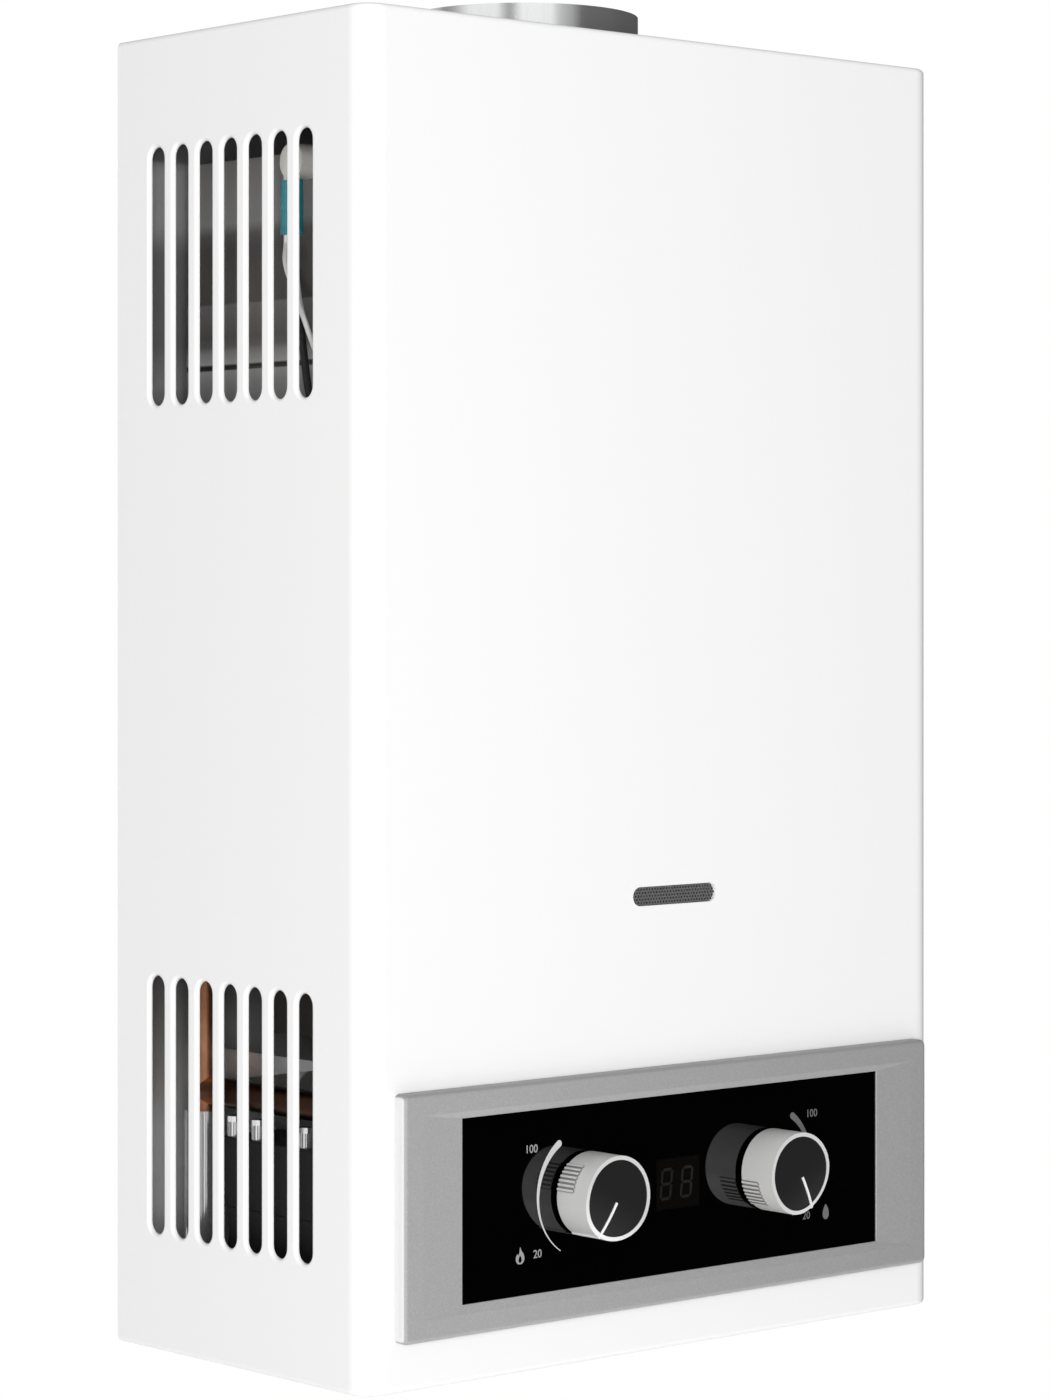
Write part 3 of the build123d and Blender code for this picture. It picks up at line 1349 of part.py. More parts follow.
# Threaded fittings under the casing
def make_fitting(name, tube_top):
    """Make and keep one fitting: thread, nut on the bottom plate, and tube."""
    place = fitting_places[name]
    thread_low = bottom - thread_length
    thread_high = bottom - thread_relief
    tiers = [(thread_low, thread_high, thread_radius), (thread_high, base_high, thread_radius - thread_relief),
             (base_high + nut_length, tube_top, fitting_tube_radius)]
    with BuildPart() as fitting:
        for low, high, radius in tiers:
            with BuildSketch(Plane.XY.offset(low)):
                with Locations(place):
                    Circle(radius)
            extrude(amount=high - low)
        with BuildSketch(Plane.XY.offset(base_high)):
            with Locations(place):
                RegularPolygon(hexagon(nut_size), 6, rotation=30)
        extrude(amount=nut_length)
        with BuildSketch(Plane.XY.offset(thread_low)):
            with Locations(place):
                Circle(thread_bore)
        extrude(amount=thread_length + base_sheet, mode=Mode.SUBTRACT)
    keep(fitting, name)


make_fitting("gas_inlet", valve_z - gas_valve_height / 2)
make_fitting("cold_inlet", valve_z - water_valve_height / 2)
make_fitting("hot_outlet", hot_fitting_top)

# Hot pipe from the exchanger down to the outlet, with the bypass brazed to it
elbow_x = -(tube_end + elbow_size / 2)
hot_run = swept_tube([(elbow_x, outlet_elbow_y, fin_z - elbow_size / 2),
                      (elbow_x, outlet_elbow_y, hot_pipe_z),
                      (hot_pipe_x, hot_pipe_y - 3 * hot_pipe_bend, hot_pipe_z),
                      (hot_pipe_x, hot_pipe_y, hot_pipe_z),
                      (hot_pipe_x, hot_pipe_y, hot_fitting_top)], hot_pipe_radius, bend=hot_pipe_bend)
bypass_run = swept_tube([(hot_pipe_x, hot_pipe_y, bypass_z), (hot_pipe_x, bypass_y, bypass_z),
                         (water_valve_x, bypass_y, bypass_z), (water_valve_x, valve_y, bypass_z),
                         (water_valve_x, valve_y, valve_z + water_valve_height / 2)],
                        bypass_radius, bend=bypass_bend)
with BuildPart() as hot_pipe:
    add(hot_run.part)
    add(bypass_run.part)
keep(hot_pipe, "hot_pipe")

# Battery box under the ignition module, open below and closed by a hinged lid
ear_spacing = box_depth - 2 * hinge_ear_length
with BuildPart() as battery_box:
    with BuildSketch(Plane.XY.offset(flange_low)):
        with Locations((battery_x, battery_y)):
            Rectangle(box_width, box_depth)
    extrude(amount=box_top - flange_low)
    with BuildSketch(Plane.XY.offset(flange_low)):
        with Locations((battery_x, battery_y)):
            Rectangle(box_width + 2 * box_flange_width, box_depth + 2 * box_flange_width)
    extrude(amount=box_flange_sheet)
    with BuildSketch(Plane.XY.offset(flange_low)):
        with Locations((battery_x, battery_y)):
            Rectangle(bay_width, bay_depth)
    extrude(amount=bay_top - flange_low, mode=Mode.SUBTRACT)
    # Hinge ears
    for side in (-1, 1):
        ear_y = battery_y + side * ear_spacing / 2
        with BuildSketch(Plane.XZ.offset(-ear_y - hinge_ear_length / 2)):
            with Locations((hinge_x, hinge_z)):
                Circle(hinge_radius)
            with BuildLine():
                edge_x = battery_x + box_width / 2 + box_flange_width
                Polyline((edge_x - 1, base_low), (hinge_x + hinge_radius, base_low),
                         (hinge_x + hinge_radius, hinge_z), (hinge_x, hinge_z), (edge_x, flange_low),
                         (edge_x - 1, flange_low), close=True)
            make_face()
            with Locations((hinge_x, hinge_z)):
                Circle(hinge_pin_radius + running_fit, mode=Mode.SUBTRACT)
        extrude(amount=hinge_ear_length)
keep(battery_box, "battery_box")

with BuildPart() as battery_lid:
    lid_right = battery_x + box_width / 2 + box_flange_width
    lid_left = battery_x - box_width / 2 - box_flange_width
    with BuildSketch(Plane.XY.offset(lid_high)):
        with Locations(((lid_left + lid_right) / 2, battery_y)):
            Rectangle(lid_right - lid_left, box_depth + 2 * box_flange_width)
        with Locations(((lid_right + hinge_x) / 2, battery_y)):
            Rectangle(hinge_x - lid_right, ear_spacing - hinge_ear_length - 2 * moving_gap)
    extrude(amount=-lid_thickness)
    barrel_length = ear_spacing - hinge_ear_length - 2 * moving_gap
    for length, radius in ((barrel_length, hinge_radius), (ear_spacing + hinge_ear_length, hinge_pin_radius)):
        with BuildSketch(Plane.XZ.offset(-battery_y - length / 2)):
            with Locations((hinge_x, hinge_z)):
                Circle(radius)
        extrude(amount=length)
    # Contact pads below the two cells
    with BuildSketch(Plane.XY.offset(lid_high)):
        with Locations((battery_x, battery_y)):
            with GridLocations(0, battery_pair_pitch, 1, 2):
                Circle(lid_contact_radius)
    extrude(amount=battery_bottom - moving_gap - lid_high)
keep(battery_lid, "battery_lid")

module_top = box_top + module_height
with BuildPart() as ignition_module:
    with BuildSketch(Plane.XY.offset(box_top)):
        with Locations((battery_x, module_y)):
            RectangleRounded(module_width, module_depth, module_corner)
    extrude(amount=module_height)
    fillet(ignition_module.faces().sort_by(Axis.Z)[-1].edges(), 1.2)
keep(ignition_module, "ignition_module")

with BuildPart() as module_terminals:
    terminal_x = battery_x - module_width / 2 + terminal_inset
    with BuildSketch(Plane.XY.offset(module_top)):
        with Locations(*[(terminal_x, place_y) for place_y in terminal_places]):
            Circle(terminal_radius)
    extrude(amount=terminal_height)
    with BuildSketch(Plane.XY.offset(module_top + terminal_height - terminal_cap)):
        with Locations(*[(terminal_x, place_y) for place_y in terminal_places]):
            RegularPolygon(1.15 * terminal_radius, 6)
    extrude(amount=terminal_cap)
keep(module_terminals, "module_terminals")

# Flue sensor on the side of the hood, with two push-on boots
hood_side = -(hood_width / 2 - hood_seam_step)
boot_x = hood_side - sensor_thickness
boot_places = [(boot_x + boot_tuck - boot_width / 2, sensor_y + side * boot_spacing / 2) for side in (-1, 1)]
with BuildPart() as flue_sensor:
    with BuildSketch(Plane.YZ.offset(hood_side)):
        with Locations((sensor_y, sensor_z)):
            Circle(sensor_radius)
    extrude(amount=-sensor_thickness)
    # Two flat blades that the boots push on to
    with BuildSketch(Plane.XY.offset(sensor_z - sensor_radius / 2)):
        with Locations(*boot_places):
            Rectangle(spade_sheet, spade_width)
    extrude(amount=boot_top - spade_length - sensor_z + sensor_radius / 2)
keep(flue_sensor, "flue_sensor")

with BuildPart() as sensor_boots:
    with BuildSketch(Plane.XY.offset(boot_top)):
        with Locations(*boot_places):
            RectangleRounded(boot_width, boot_width, 1.2)
    extrude(amount=-boot_height)
    with BuildSketch(Plane.XY.offset(boot_top)):
        with Locations(*boot_places):
            Rectangle(spade_sheet, spade_width)
    extrude(amount=-spade_length, mode=Mode.SUBTRACT)
keep(sensor_boots, "sensor_boots")

with BuildPart() as flue_probe:
    with BuildSketch(Plane.YZ.offset(hood_side)):
        with Locations((probe_y, probe_z)):
            RectangleRounded(probe_width, probe_height, 1)
    extrude(amount=-probe_depth)
keep(flue_probe, "flue_probe")

# Leads, each one tube along its whole route. Those of the hood run forward and down
# to the casing's front corner, and into the front of the module.
module_left = battery_x - module_width / 2
module_front = module_y - module_depth / 2
module_right = battery_x + module_width / 2
corner_y = -(casing_depth - 28.0)
boot_low = boot_top - boot_height
(front_boot_x, front_boot_y), (rear_boot_x, rear_boot_y) = boot_places
outer_lane_x = boot_x - 6.5
front_lead = swept_tube([(front_boot_x, front_boot_y, boot_low),
                         (front_boot_x, front_boot_y, boot_low - 29),
                         (front_boot_x, corner_y + 4, boot_low - 98),
                         (front_boot_x, corner_y + 4, module_top - 1),
                         (module_left + 5, corner_y + 4, module_top - 17),
                         (module_left + 5, module_front, module_top - 17)], lead_radius)
rear_lead = swept_tube([(rear_boot_x, rear_boot_y, boot_low),
                        (rear_boot_x, rear_boot_y, boot_low - 4),
                        (outer_lane_x, rear_boot_y - 7.5, boot_low - 13),
                        (outer_lane_x, corner_y, boot_low - 93),
                        (outer_lane_x, corner_y, module_top + 3),
                        (module_left + 9, corner_y, module_top - 9),
                        (module_left + 9, module_front, module_top - 9)], lead_radius)
with BuildPart() as sensor_leads:
    add([front_lead.part, rear_lead.part])
keep(sensor_leads, "sensor_leads")

probe_x = hood_side - probe_depth / 2
braid_lane_x = probe_x - 4.0
probe_low = probe_z - probe_height / 2
braided_lead = swept_tube([(probe_x, probe_y, probe_low),
                           (probe_x, probe_y, probe_low - 4),
                           (braid_lane_x, probe_y - 10, probe_low - 22),
                           (braid_lane_x, probe_y - 17, probe_low - 59),
                           (braid_lane_x, corner_y + 8, probe_low - 111),
                           (braid_lane_x, corner_y + 8, module_top + 7),
                           (module_left + 16, corner_y + 8, module_top - 11),
                           (module_left + 16, module_front, module_top - 11)], braid_radius)
keep(braided_lead, "braided_lead")

ignition_runs = []
for index, (place_x, place_z) in enumerate(electrode_places):
    lane_z = place_z + 22.0 + 6.0 * index
    lane_y = -(shell_front + electrode_outer + 11)
    drop_x = module_right - 12.0 + 6.0 * index
    entry_z = module_top - 12.0
    ignition_runs.append(swept_tube([(place_x, -(shell_front + electrode_outer), place_z),
                                     (place_x, lane_y, place_z), (place_x, lane_y, lane_z),
                                     (drop_x, lane_y, lane_z), (drop_x, bypass_y - 12, lane_z - 40),
                                     (drop_x, bypass_y - 12, entry_z), (drop_x, module_front, entry_z)],
                                    ignition_lead_radius))
with BuildPart() as ignition_leads:
    add([lead.part for lead in ignition_runs])
keep(ignition_leads, "ignition_leads")

board_back = -(board_face - display_board_thickness)
switch_top = switch_bottom + switch_height
low_lane = valve_z - 16.0
high_lane = switch_top + 12.0
display_end = panel_x - display_board_width / 2 + 4
display_run = swept_tube([(display_end, board_back, fascia_view_z - 8),
                          (display_end, board_back + 10, fascia_view_z - 8),
                          (gas_valve_x, board_back + 14, low_lane),
                          (module_left + 12, board_back + 20, low_lane + 10),
                          (module_left + 12, module_front, low_lane + 10)], lead_radius)
switch_run = swept_tube([(switch_x, valve_y, switch_top), (switch_x, valve_y, high_lane),
                         (switch_x, battery_y + 30, high_lane),
                         (module_right - 5, battery_y + 30, high_lane),
                         (module_right - 5, battery_y + 30, module_top)], lead_radius)
solenoid_run = swept_tube([(solenoid_left, valve_y, valve_z + 7), (module_right, valve_y, valve_z + 7)],
                          lead_radius)
with BuildPart() as control_leads:
    add([display_run.part, switch_run.part, solenoid_run.part])
keep(control_leads, "control_leads")

# Screws that hold the casing and the control panel
with BuildPart() as fixing_screws:
    with BuildSketch(Plane.XY.offset(bottom)):
        with Locations((0, lip_screw_y)):
            with GridLocations(casing_width / 2, 0, 2, 1):
                Circle(lip_head_radius)
    extrude(amount=-lip_head_length)
    with BuildSketch(Plane.XY.offset(bottom)):
        with Locations((0, lip_screw_y)):
            with GridLocations(casing_width / 2, 0, 2, 1):
                Circle(screw_radius)
    extrude(amount=screw_length - screw_head_length)
    with BuildSketch(Plane.XZ.offset(front - casing_sheet)):
        with Locations((panel_x, panel_z)):
            with GridLocations(2 * panel_screw_x, 2 * panel_screw_z, 2, 2):
                Circle(screw_head_radius)
    extrude(amount=-screw_head_length)
    with BuildSketch(Plane.XZ.offset(front - casing_sheet)):
        with Locations((panel_x, panel_z)):
            with GridLocations(2 * panel_screw_x, 2 * panel_screw_z, 2, 2):
                Circle(screw_radius)
    extrude(amount=casing_sheet + screw_length - screw_head_length)
keep(fixing_screws, "fixing_screws")
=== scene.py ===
"""Wall-hung gas water heater: finishes, printed fascia, small detail, studio and camera."""

import json
from math import cos, hypot, pi, radians, sin

import bmesh
import bpy
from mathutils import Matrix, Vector


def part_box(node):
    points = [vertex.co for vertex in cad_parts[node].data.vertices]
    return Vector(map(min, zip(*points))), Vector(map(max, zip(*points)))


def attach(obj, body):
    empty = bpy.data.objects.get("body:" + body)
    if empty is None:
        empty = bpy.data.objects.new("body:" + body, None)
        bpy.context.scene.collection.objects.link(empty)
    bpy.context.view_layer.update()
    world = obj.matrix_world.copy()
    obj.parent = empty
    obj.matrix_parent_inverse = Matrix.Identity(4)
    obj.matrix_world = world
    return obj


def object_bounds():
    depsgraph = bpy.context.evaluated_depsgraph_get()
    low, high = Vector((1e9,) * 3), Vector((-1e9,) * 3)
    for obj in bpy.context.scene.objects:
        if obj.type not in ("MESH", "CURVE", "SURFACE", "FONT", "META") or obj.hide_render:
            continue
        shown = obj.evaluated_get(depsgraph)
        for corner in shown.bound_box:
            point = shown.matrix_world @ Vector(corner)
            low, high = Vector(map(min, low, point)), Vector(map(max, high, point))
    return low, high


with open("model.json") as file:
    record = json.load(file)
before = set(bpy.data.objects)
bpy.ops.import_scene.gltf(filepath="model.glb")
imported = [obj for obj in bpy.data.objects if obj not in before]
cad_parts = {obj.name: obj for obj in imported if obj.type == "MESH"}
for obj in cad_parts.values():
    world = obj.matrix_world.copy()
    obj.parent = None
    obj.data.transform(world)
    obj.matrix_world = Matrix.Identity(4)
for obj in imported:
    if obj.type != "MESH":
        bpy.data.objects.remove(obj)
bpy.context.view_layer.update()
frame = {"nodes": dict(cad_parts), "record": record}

# Photograph: place and lens of the camera
CAMERA_PLACE = (-1.2526, -1.5046, 0.0489)
CAMERA_YAW = radians(41.35)
CAMERA_LENS = 104.2
CAMERA_SENSOR = 36.0
CAMERA_NEAR = 0.05
CAMERA_SHIFT_Y = -116 / 1400

# Studio: floor, even surroundings and one large soft light beside the camera
FLOOR_DROP = 0.9
FLOOR_SIZE = 4.0
FLOOR_LIFT = 0.62
WORLD_LEVEL = 0.453
KEY_PLACE = (-2.164, -2.750, 0.12)
KEY_TARGET = (0, -0.09, 0)
KEY_SIZE = 1.6
KEY_POWER = 94.0

# Brightness that mirrors find round the studio, by azimuth in degrees from the front.
# The left is negative: soft box beside the camera, black cloth on the right.
MIRRORED_LEVELS = ((-180, 0.55), (-136, 0.60), (-126, 0.22), (-113, 0.40), (-96, 0.98), (-66, 0.98),
                   (-57, 0.34), (-51, 0.34), (-44, 1.0), (-12, 1.0), (-5, 0.55), (8, 0.35), (20, 0.012),
                   (80, 0.012), (120, 0.05), (150, 0.30), (180, 0.55))
OVERHEAD_LEVEL = 0.60
OVERHEAD_RANGE = (0.35, 0.75)

# Printed scale round each knob
ARC_RADIUS = 0.0280
ARC_THICK = 0.0027
ARC_THIN = 0.0004
GAS_ARC = (124.0, 238.0)
WATER_ARC = (55.0, -56.0)
CAP_STEPS = 12
PRINT_THICKNESS = 0.00006

# Numbers and pictograms, placed in x and z from the axis of their knob
NUMBER_SIZE = 0.0050
NUMBER_WEIGHT = 0.00004
NUMBERS = (("gas_number_high", "100", (-0.0318, 0.0222)), ("gas_number_low", "20", (-0.0283, -0.0238)),
           ("water_number_high", "100", (0.0286, 0.0229)), ("water_number_low", "20", (0.0251, -0.0241)))
FLAME_OFFSET = (-0.0384, -0.0234)
FLAME_HEIGHT = 0.0074
FLAME_OUTER = [(0.02, 0.50), (0.10, 0.30), (0.24, 0.12), (0.33, -0.08), (0.31, -0.30), (0.14, -0.48),
               (-0.14, -0.48), (-0.31, -0.30), (-0.32, -0.06), (-0.20, 0.12), (-0.15, 0.02), (-0.06, 0.14),
               (-0.03, 0.32)]
FLAME_INNER = [(0.00, 0.02), (0.11, -0.16), (0.12, -0.32), (0.00, -0.42), (-0.12, -0.32), (-0.10, -0.18)]
DROP_OFFSET = (0.0379, -0.0234)
DROP_HEIGHT = 0.0070

# Smoked window with two unlit digits
WINDOW_HALF_WIDTH = 0.0132
WINDOW_HALF_HEIGHT = 0.0114
DIGIT_WIDTH = 0.0072
DIGIT_HEIGHT = 0.0143
DIGIT_PITCH = 0.0125
DIGIT_STROKE = 0.0013
DIGIT_GAP = 0.16 * DIGIT_STROKE
DIGIT_SLANT = 0.10
DIGIT_SHIFT = 0.001

# Nodes whose finish differs from the one of their slot
NODE_FINISH = {"draft_hood": "hood_steel", "flue_collector": "hood_steel", "burner_tray": "dark_burner_steel",
               "back_plate": "plate_steel"}

# Painted highlights and shade up the hood, with a dark line at its seam: levels of grey by height
HOOD_LIGHT_AND_SHADE_BANDS = ((0.120, 0.28), (0.140, 0.38), (0.1452, 0.48), (0.1455, 0.01), (0.1475, 0.01), (0.1480, 0.58),
              (0.153, 0.36), (0.156, 0.15), (0.160, 0.10), (0.1735, 0.19), (0.1745, 0.21), (0.1755, 0.06),
              (0.200, 0.06), (0.206, 0.10), (0.2115, 0.34), (0.240, 0.29))

# Painted light and shade up the wall plate: levels of grey by height
PLATE_LIGHT_AND_SHADE_BANDS = ((-0.260, 0.95), (-0.200, 0.90), (-0.170, 0.50), (-0.140, 0.28), (0.120, 0.45), (0.140, 0.60),
               (0.158, 0.36), (0.200, 0.38), (0.212, 0.72), (0.2405, 0.80), (0.243, 0.32))

# Where painted shade darkens the copper pipe, from none to full: by x inwards and by y ahead
COPPER_SHADE_X = (-0.142, -0.130)
COPPER_SHADE_Y = (-0.034, -0.042)

# Where painted shade darkens the panel frame towards the right
RIGHT_SHADE_X = (-0.10, 0.16)


# Materials

def start(name, **sockets):
    """A node material with the given sockets of its shader set."""
    material = bpy.data.materials.new(name)
    material.use_nodes = True
    shader = material.node_tree.nodes["Principled BSDF"]
    for socket, value in sockets.items():
        shader.inputs[socket.replace("_", " ")].default_value = value
    return material


def place(material, stretch=(1, 1, 1)):
    """Object coordinates in metres, stretched per axis."""
    nodes, links = material.node_tree.nodes, material.node_tree.links
    coordinates = nodes.new("ShaderNodeTexCoord")
    mapping = nodes.new("ShaderNodeMapping")
    mapping.inputs["Scale"].default_value = stretch
    links.new(coordinates.outputs["Object"], mapping.inputs["Vector"])
    return mapping.outputs["Vector"]


def noise(material, scale, detail=3.0, stretch=(1, 1, 1), roughness=0.5):
    """Noise from 0 to 1, with its scale in cycles per metre."""
    nodes, links = material.node_tree.nodes, material.node_tree.links
    texture = nodes.new("ShaderNodeTexNoise")
    texture.inputs["Scale"].default_value = scale
    texture.inputs["Detail"].default_value = detail
    texture.inputs["Roughness"].default_value = roughness
    links.new(place(material, stretch), texture.inputs["Vector"])
    return texture.outputs["Fac"]


def cells(material, scale, stretch=(1, 1, 1)):
    """Flat random value per cell, as on a spangled or flaked surface."""
    nodes, links = material.node_tree.nodes, material.node_tree.links
    texture = nodes.new("ShaderNodeTexVoronoi")
    texture.inputs["Scale"].default_value = scale
    links.new(place(material, stretch), texture.inputs["Vector"])
    split = nodes.new("ShaderNodeSeparateColor")
    links.new(texture.outputs["Color"], split.inputs["Color"])
    return split.outputs["Red"]


def waves(material, scale, axis="X"):
    """Even stripes across an axis."""
    nodes, links = material.node_tree.nodes, material.node_tree.links
    texture = nodes.new("ShaderNodeTexWave")
    texture.inputs["Scale"].default_value = scale
    texture.bands_direction = axis
    links.new(place(material), texture.inputs["Vector"])
    return texture.outputs["Fac"]


def remap(owner, value, low, high, start_at=0.0, end_at=1.0):
    """Value between start_at and end_at mapped to the range from low to high."""
    nodes, links = owner.node_tree.nodes, owner.node_tree.links
    node = nodes.new("ShaderNodeMapRange")
    node.inputs["From Min"].default_value = start_at
    node.inputs["From Max"].default_value = end_at
    node.inputs["To Min"].default_value = low
    node.inputs["To Max"].default_value = high
    links.new(value, node.inputs["Value"])
    return node.outputs["Result"]


def blend_colours(material, factor, first, second):
    """Colour between first and second by the factor."""
    nodes, links = material.node_tree.nodes, material.node_tree.links
    mix = nodes.new("ShaderNodeMix")
    mix.data_type = "RGBA"
    for socket, colour in (("A", first), ("B", second)):
        target = next(s for s in mix.inputs if s.name == socket and s.type == "RGBA")
        if isinstance(colour, tuple):
            target.default_value = (*colour, 1.0)
        else:
            links.new(colour, target)
    links.new(factor, mix.inputs["Factor"])
    return next(s for s in mix.outputs if s.type == "RGBA")


def part_of(owner, vector, axis):
    """One of the three numbers of a vector."""
    nodes, links = owner.node_tree.nodes, owner.node_tree.links
    split = nodes.new("ShaderNodeSeparateXYZ")
    links.new(vector, split.inputs["Vector"])
    return split.outputs[axis]


def facing(material, axis):
    """How far the surface faces along an axis."""
    geometry = material.node_tree.nodes.new("ShaderNodeNewGeometry")
    return part_of(material, geometry.outputs["Normal"], axis)


def calculate(owner, operation, *values):
    """One step of arithmetic on sockets or numbers."""
    nodes, links = owner.node_tree.nodes, owner.node_tree.links
    step = nodes.new("ShaderNodeMath")
    step.operation = operation
    for socket, value in zip(step.inputs, values):
        if isinstance(value, float):
            socket.default_value = value
        else:
            links.new(value, socket)
    return step.outputs["Value"]


def blend_levels(owner, factor, first, second):
    """Number between first and second by the factor."""
    nodes, links = owner.node_tree.nodes, owner.node_tree.links
    mix = nodes.new("ShaderNodeMix")
    links.new(factor, mix.inputs[0])
    for socket, value in ((mix.inputs[2], first), (mix.inputs[3], second)):
        if isinstance(value, float):
            socket.default_value = value
        else:
            links.new(value, socket)
    return mix.outputs[0]


def grey_ramp(owner, value, stops):
    """Grey that follows a value, from pairs of that value and a level."""
    nodes, links = owner.node_tree.nodes, owner.node_tree.links
    ramp = nodes.new("ShaderNodeValToRGB")
    elements = ramp.color_ramp.elements
    while len(elements) < len(stops):
        elements.new(0.5)
    low, high = stops[0][0], stops[-1][0]
    for element, (position, level) in zip(elements, stops):
        element.position = (position - low) / (high - low)
        element.color = (level, level, level, 1.0)
    links.new(remap(owner, value, 0.0, 1.0, low, high), ramp.inputs["Fac"])
    return ramp.outputs["Color"]


def set_colour(material, socket):
    """Feed the shader's base colour."""
    shader = material.node_tree.nodes["Principled BSDF"]
    material.node_tree.links.new(socket, shader.inputs["Base Color"])


def set_roughness(material, socket):
    """Feed the shader's roughness."""
    shader = material.node_tree.nodes["Principled BSDF"]
    material.node_tree.links.new(socket, shader.inputs["Roughness"])


def add_bump(material, height, depth, strength=1.0):
    """Bump of the given depth in metres, on top of any bump made before."""
    nodes, links = material.node_tree.nodes, material.node_tree.links
    shader = nodes["Principled BSDF"]
    bump = nodes.new("ShaderNodeBump")
    bump.inputs["Distance"].default_value = depth
    bump.inputs["Strength"].default_value = strength
    links.new(height, bump.inputs["Height"])
    if shader.inputs["Normal"].links:
        links.new(shader.inputs["Normal"].links[0].from_socket, bump.inputs["Normal"])
    links.new(bump.outputs["Normal"], shader.inputs["Normal"])


def white_enamel():
    """Stoved gloss enamel with a faint orange peel."""
    material = start("white_enamel", Base_Color=(0.890, 0.891, 0.888, 1.0), Coat_Weight=0.35,
                     Coat_Roughness=0.08)
    set_roughness(material, remap(material, noise(material, 30.0), 0.285, 0.345))
    add_bump(material, noise(material, 420.0, 2.0), 0.000005, 0.15)
    return material


def galvanised_sheet():
    """Zinc-coated sheet with a faint spangle and rolling lines."""
    material = start("galvanised_sheet", Metallic=0.7)
    spangle = cells(material, 90.0)
    colour = blend_colours(material, spangle, (0.52, 0.525, 0.53), (0.66, 0.665, 0.67))
    soil = remap(material, noise(material, 14.0, 5.0), 0.0, 0.55, 0.45, 0.8)
    set_colour(material, blend_colours(material, soil, colour, (0.34, 0.325, 0.31)))
    rolled = noise(material, 60.0, 4.0, (30, 30, 1))
    set_roughness(material, remap(material, rolled, 0.24, 0.42))
    add_bump(material, spangle, 0.00001, 0.4)
    return material


def plate_steel():
    """Zinc-coated wall plate, with painted light and shade in bands by height on the side that faces the hood.
    """
    material = start("plate_steel", Metallic=0.55)
    spangle = cells(material, 90.0)
    # Painted light and shade: grey levels by height on the faces turned away from the wall
    bands = grey_ramp(material, part_of(material, place(material), "Z"), PLATE_LIGHT_AND_SHADE_BANDS)
    banded_light_and_shade = blend_colours(material, remap(material, spangle, 0.0, 0.16), bands, (0.40, 0.40, 0.40))
    bright = blend_colours(material, spangle, (0.48, 0.485, 0.49), (0.62, 0.625, 0.63))
    behind = remap(material, facing(material, "Y"), 0.0, 1.0, 0.2, 0.6)
    set_colour(material, blend_colours(material, behind, banded_light_and_shade, bright))
    rolled = noise(material, 60.0, 4.0, (30, 30, 1))
    set_roughness(material, remap(material, rolled, 0.28, 0.42))
    add_bump(material, spangle, 0.00001, 0.4)
    return material


def hood_steel():
    """Aluminised sheet of the hood with a brownish tint, and painted highlights and shade in bands by height.
    """
    material = start("hood_steel", Metallic=0.2, Specular_IOR_Level=0.3)
    rolled = noise(material, 60.0, 4.0, (30, 30, 1))
    # Painted highlights and shade: grey levels by height stand in for the light on the hood
    bands = grey_ramp(material, part_of(material, place(material), "Z"), HOOD_LIGHT_AND_SHADE_BANDS)
    tint = remap(material, noise(material, 9.0, 3.0, (1, 1, 2)), 0.0, 0.35, 0.4, 0.75)
    colour = blend_colours(material, tint, bands, (0.20, 0.17, 0.15))
    streaks = remap(material, rolled, 0.0, 0.12)
    set_colour(material, blend_colours(material, streaks, colour, (0.45, 0.45, 0.45)))
    set_roughness(material, remap(material, rolled, 0.34, 0.46))
    add_bump(material, rolled, 0.000006, 0.25)
    return material


def dark_burner_steel():
    """Dark steel sheet round the burner."""
    material = start("dark_burner_steel", Metallic=0.6)
    clouds = noise(material, 40.0, 5.0)
    set_colour(material, blend_colours(material, clouds, (0.07, 0.068, 0.066), (0.13, 0.125, 0.12)))
    set_roughness(material, remap(material, noise(material, 160.0, 4.0), 0.30, 0.45))
    add_bump(material, clouds, 0.00002, 0.3)
    return material


def silver_moulding():
    """Frame moulding painted silver with fine metal flake, whose sideways faces are near white. Painted shade
    darkens the upward faces and the right-hand end.
    """
    material = start("silver_moulding", Metallic=0.15, Coat_Weight=0.1, Coat_Roughness=0.3)
    flake = cells(material, 3200.0)
    glint = remap(material, flake, 0.0, 1.0, 0.55, 1.0)
    colour = blend_colours(material, glint, (0.37, 0.37, 0.375), (0.47, 0.47, 0.475))
    clouds = noise(material, 25.0, 3.0)
    silver = blend_colours(material, remap(material, clouds, 0.0, 0.35), colour, (0.40, 0.395, 0.40))
    darker = blend_colours(material, glint, (0.33, 0.325, 0.33), (0.40, 0.395, 0.40))
    # Painted shade: the silver darkens towards the right-hand end
    right_shade = remap(material, part_of(material, place(material), "X"), 0.0, 1.0, *RIGHT_SHADE_X)
    silver = blend_colours(material, right_shade, silver, darker)
    # Painted shade: faces turned upwards are darker
    shaded_top = remap(material, facing(material, "Z"), 0.0, 0.75, 0.25, 0.60)
    silver = blend_colours(material, shaded_top, silver, (0.28, 0.278, 0.28))
    sideways = calculate(material, "ABSOLUTE", facing(material, "X"))
    sideways_pale = remap(material, sideways, 0.0, 1.0, 0.72, 0.86)
    set_colour(material, blend_colours(material, sideways_pale, silver, (0.74, 0.742, 0.74)))
    set_roughness(material, remap(material, flake, 0.42, 0.54))
    add_bump(material, flake, 0.000012, 0.35)
    return material


def black_glass():
    """Back-painted glass: deep black under a polished surface."""
    material = start("black_glass", Specular_IOR_Level=0.5)
    dust = remap(material, noise(material, 500.0, 6.0), 0.0, 1.0, 0.62, 0.9)
    set_colour(material, blend_colours(material, dust, (0.0002, 0.0002, 0.0002), (0.0012, 0.0012, 0.0012)))
    set_roughness(material, remap(material, noise(material, 18.0, 4.0), 0.02, 0.06))
    return material


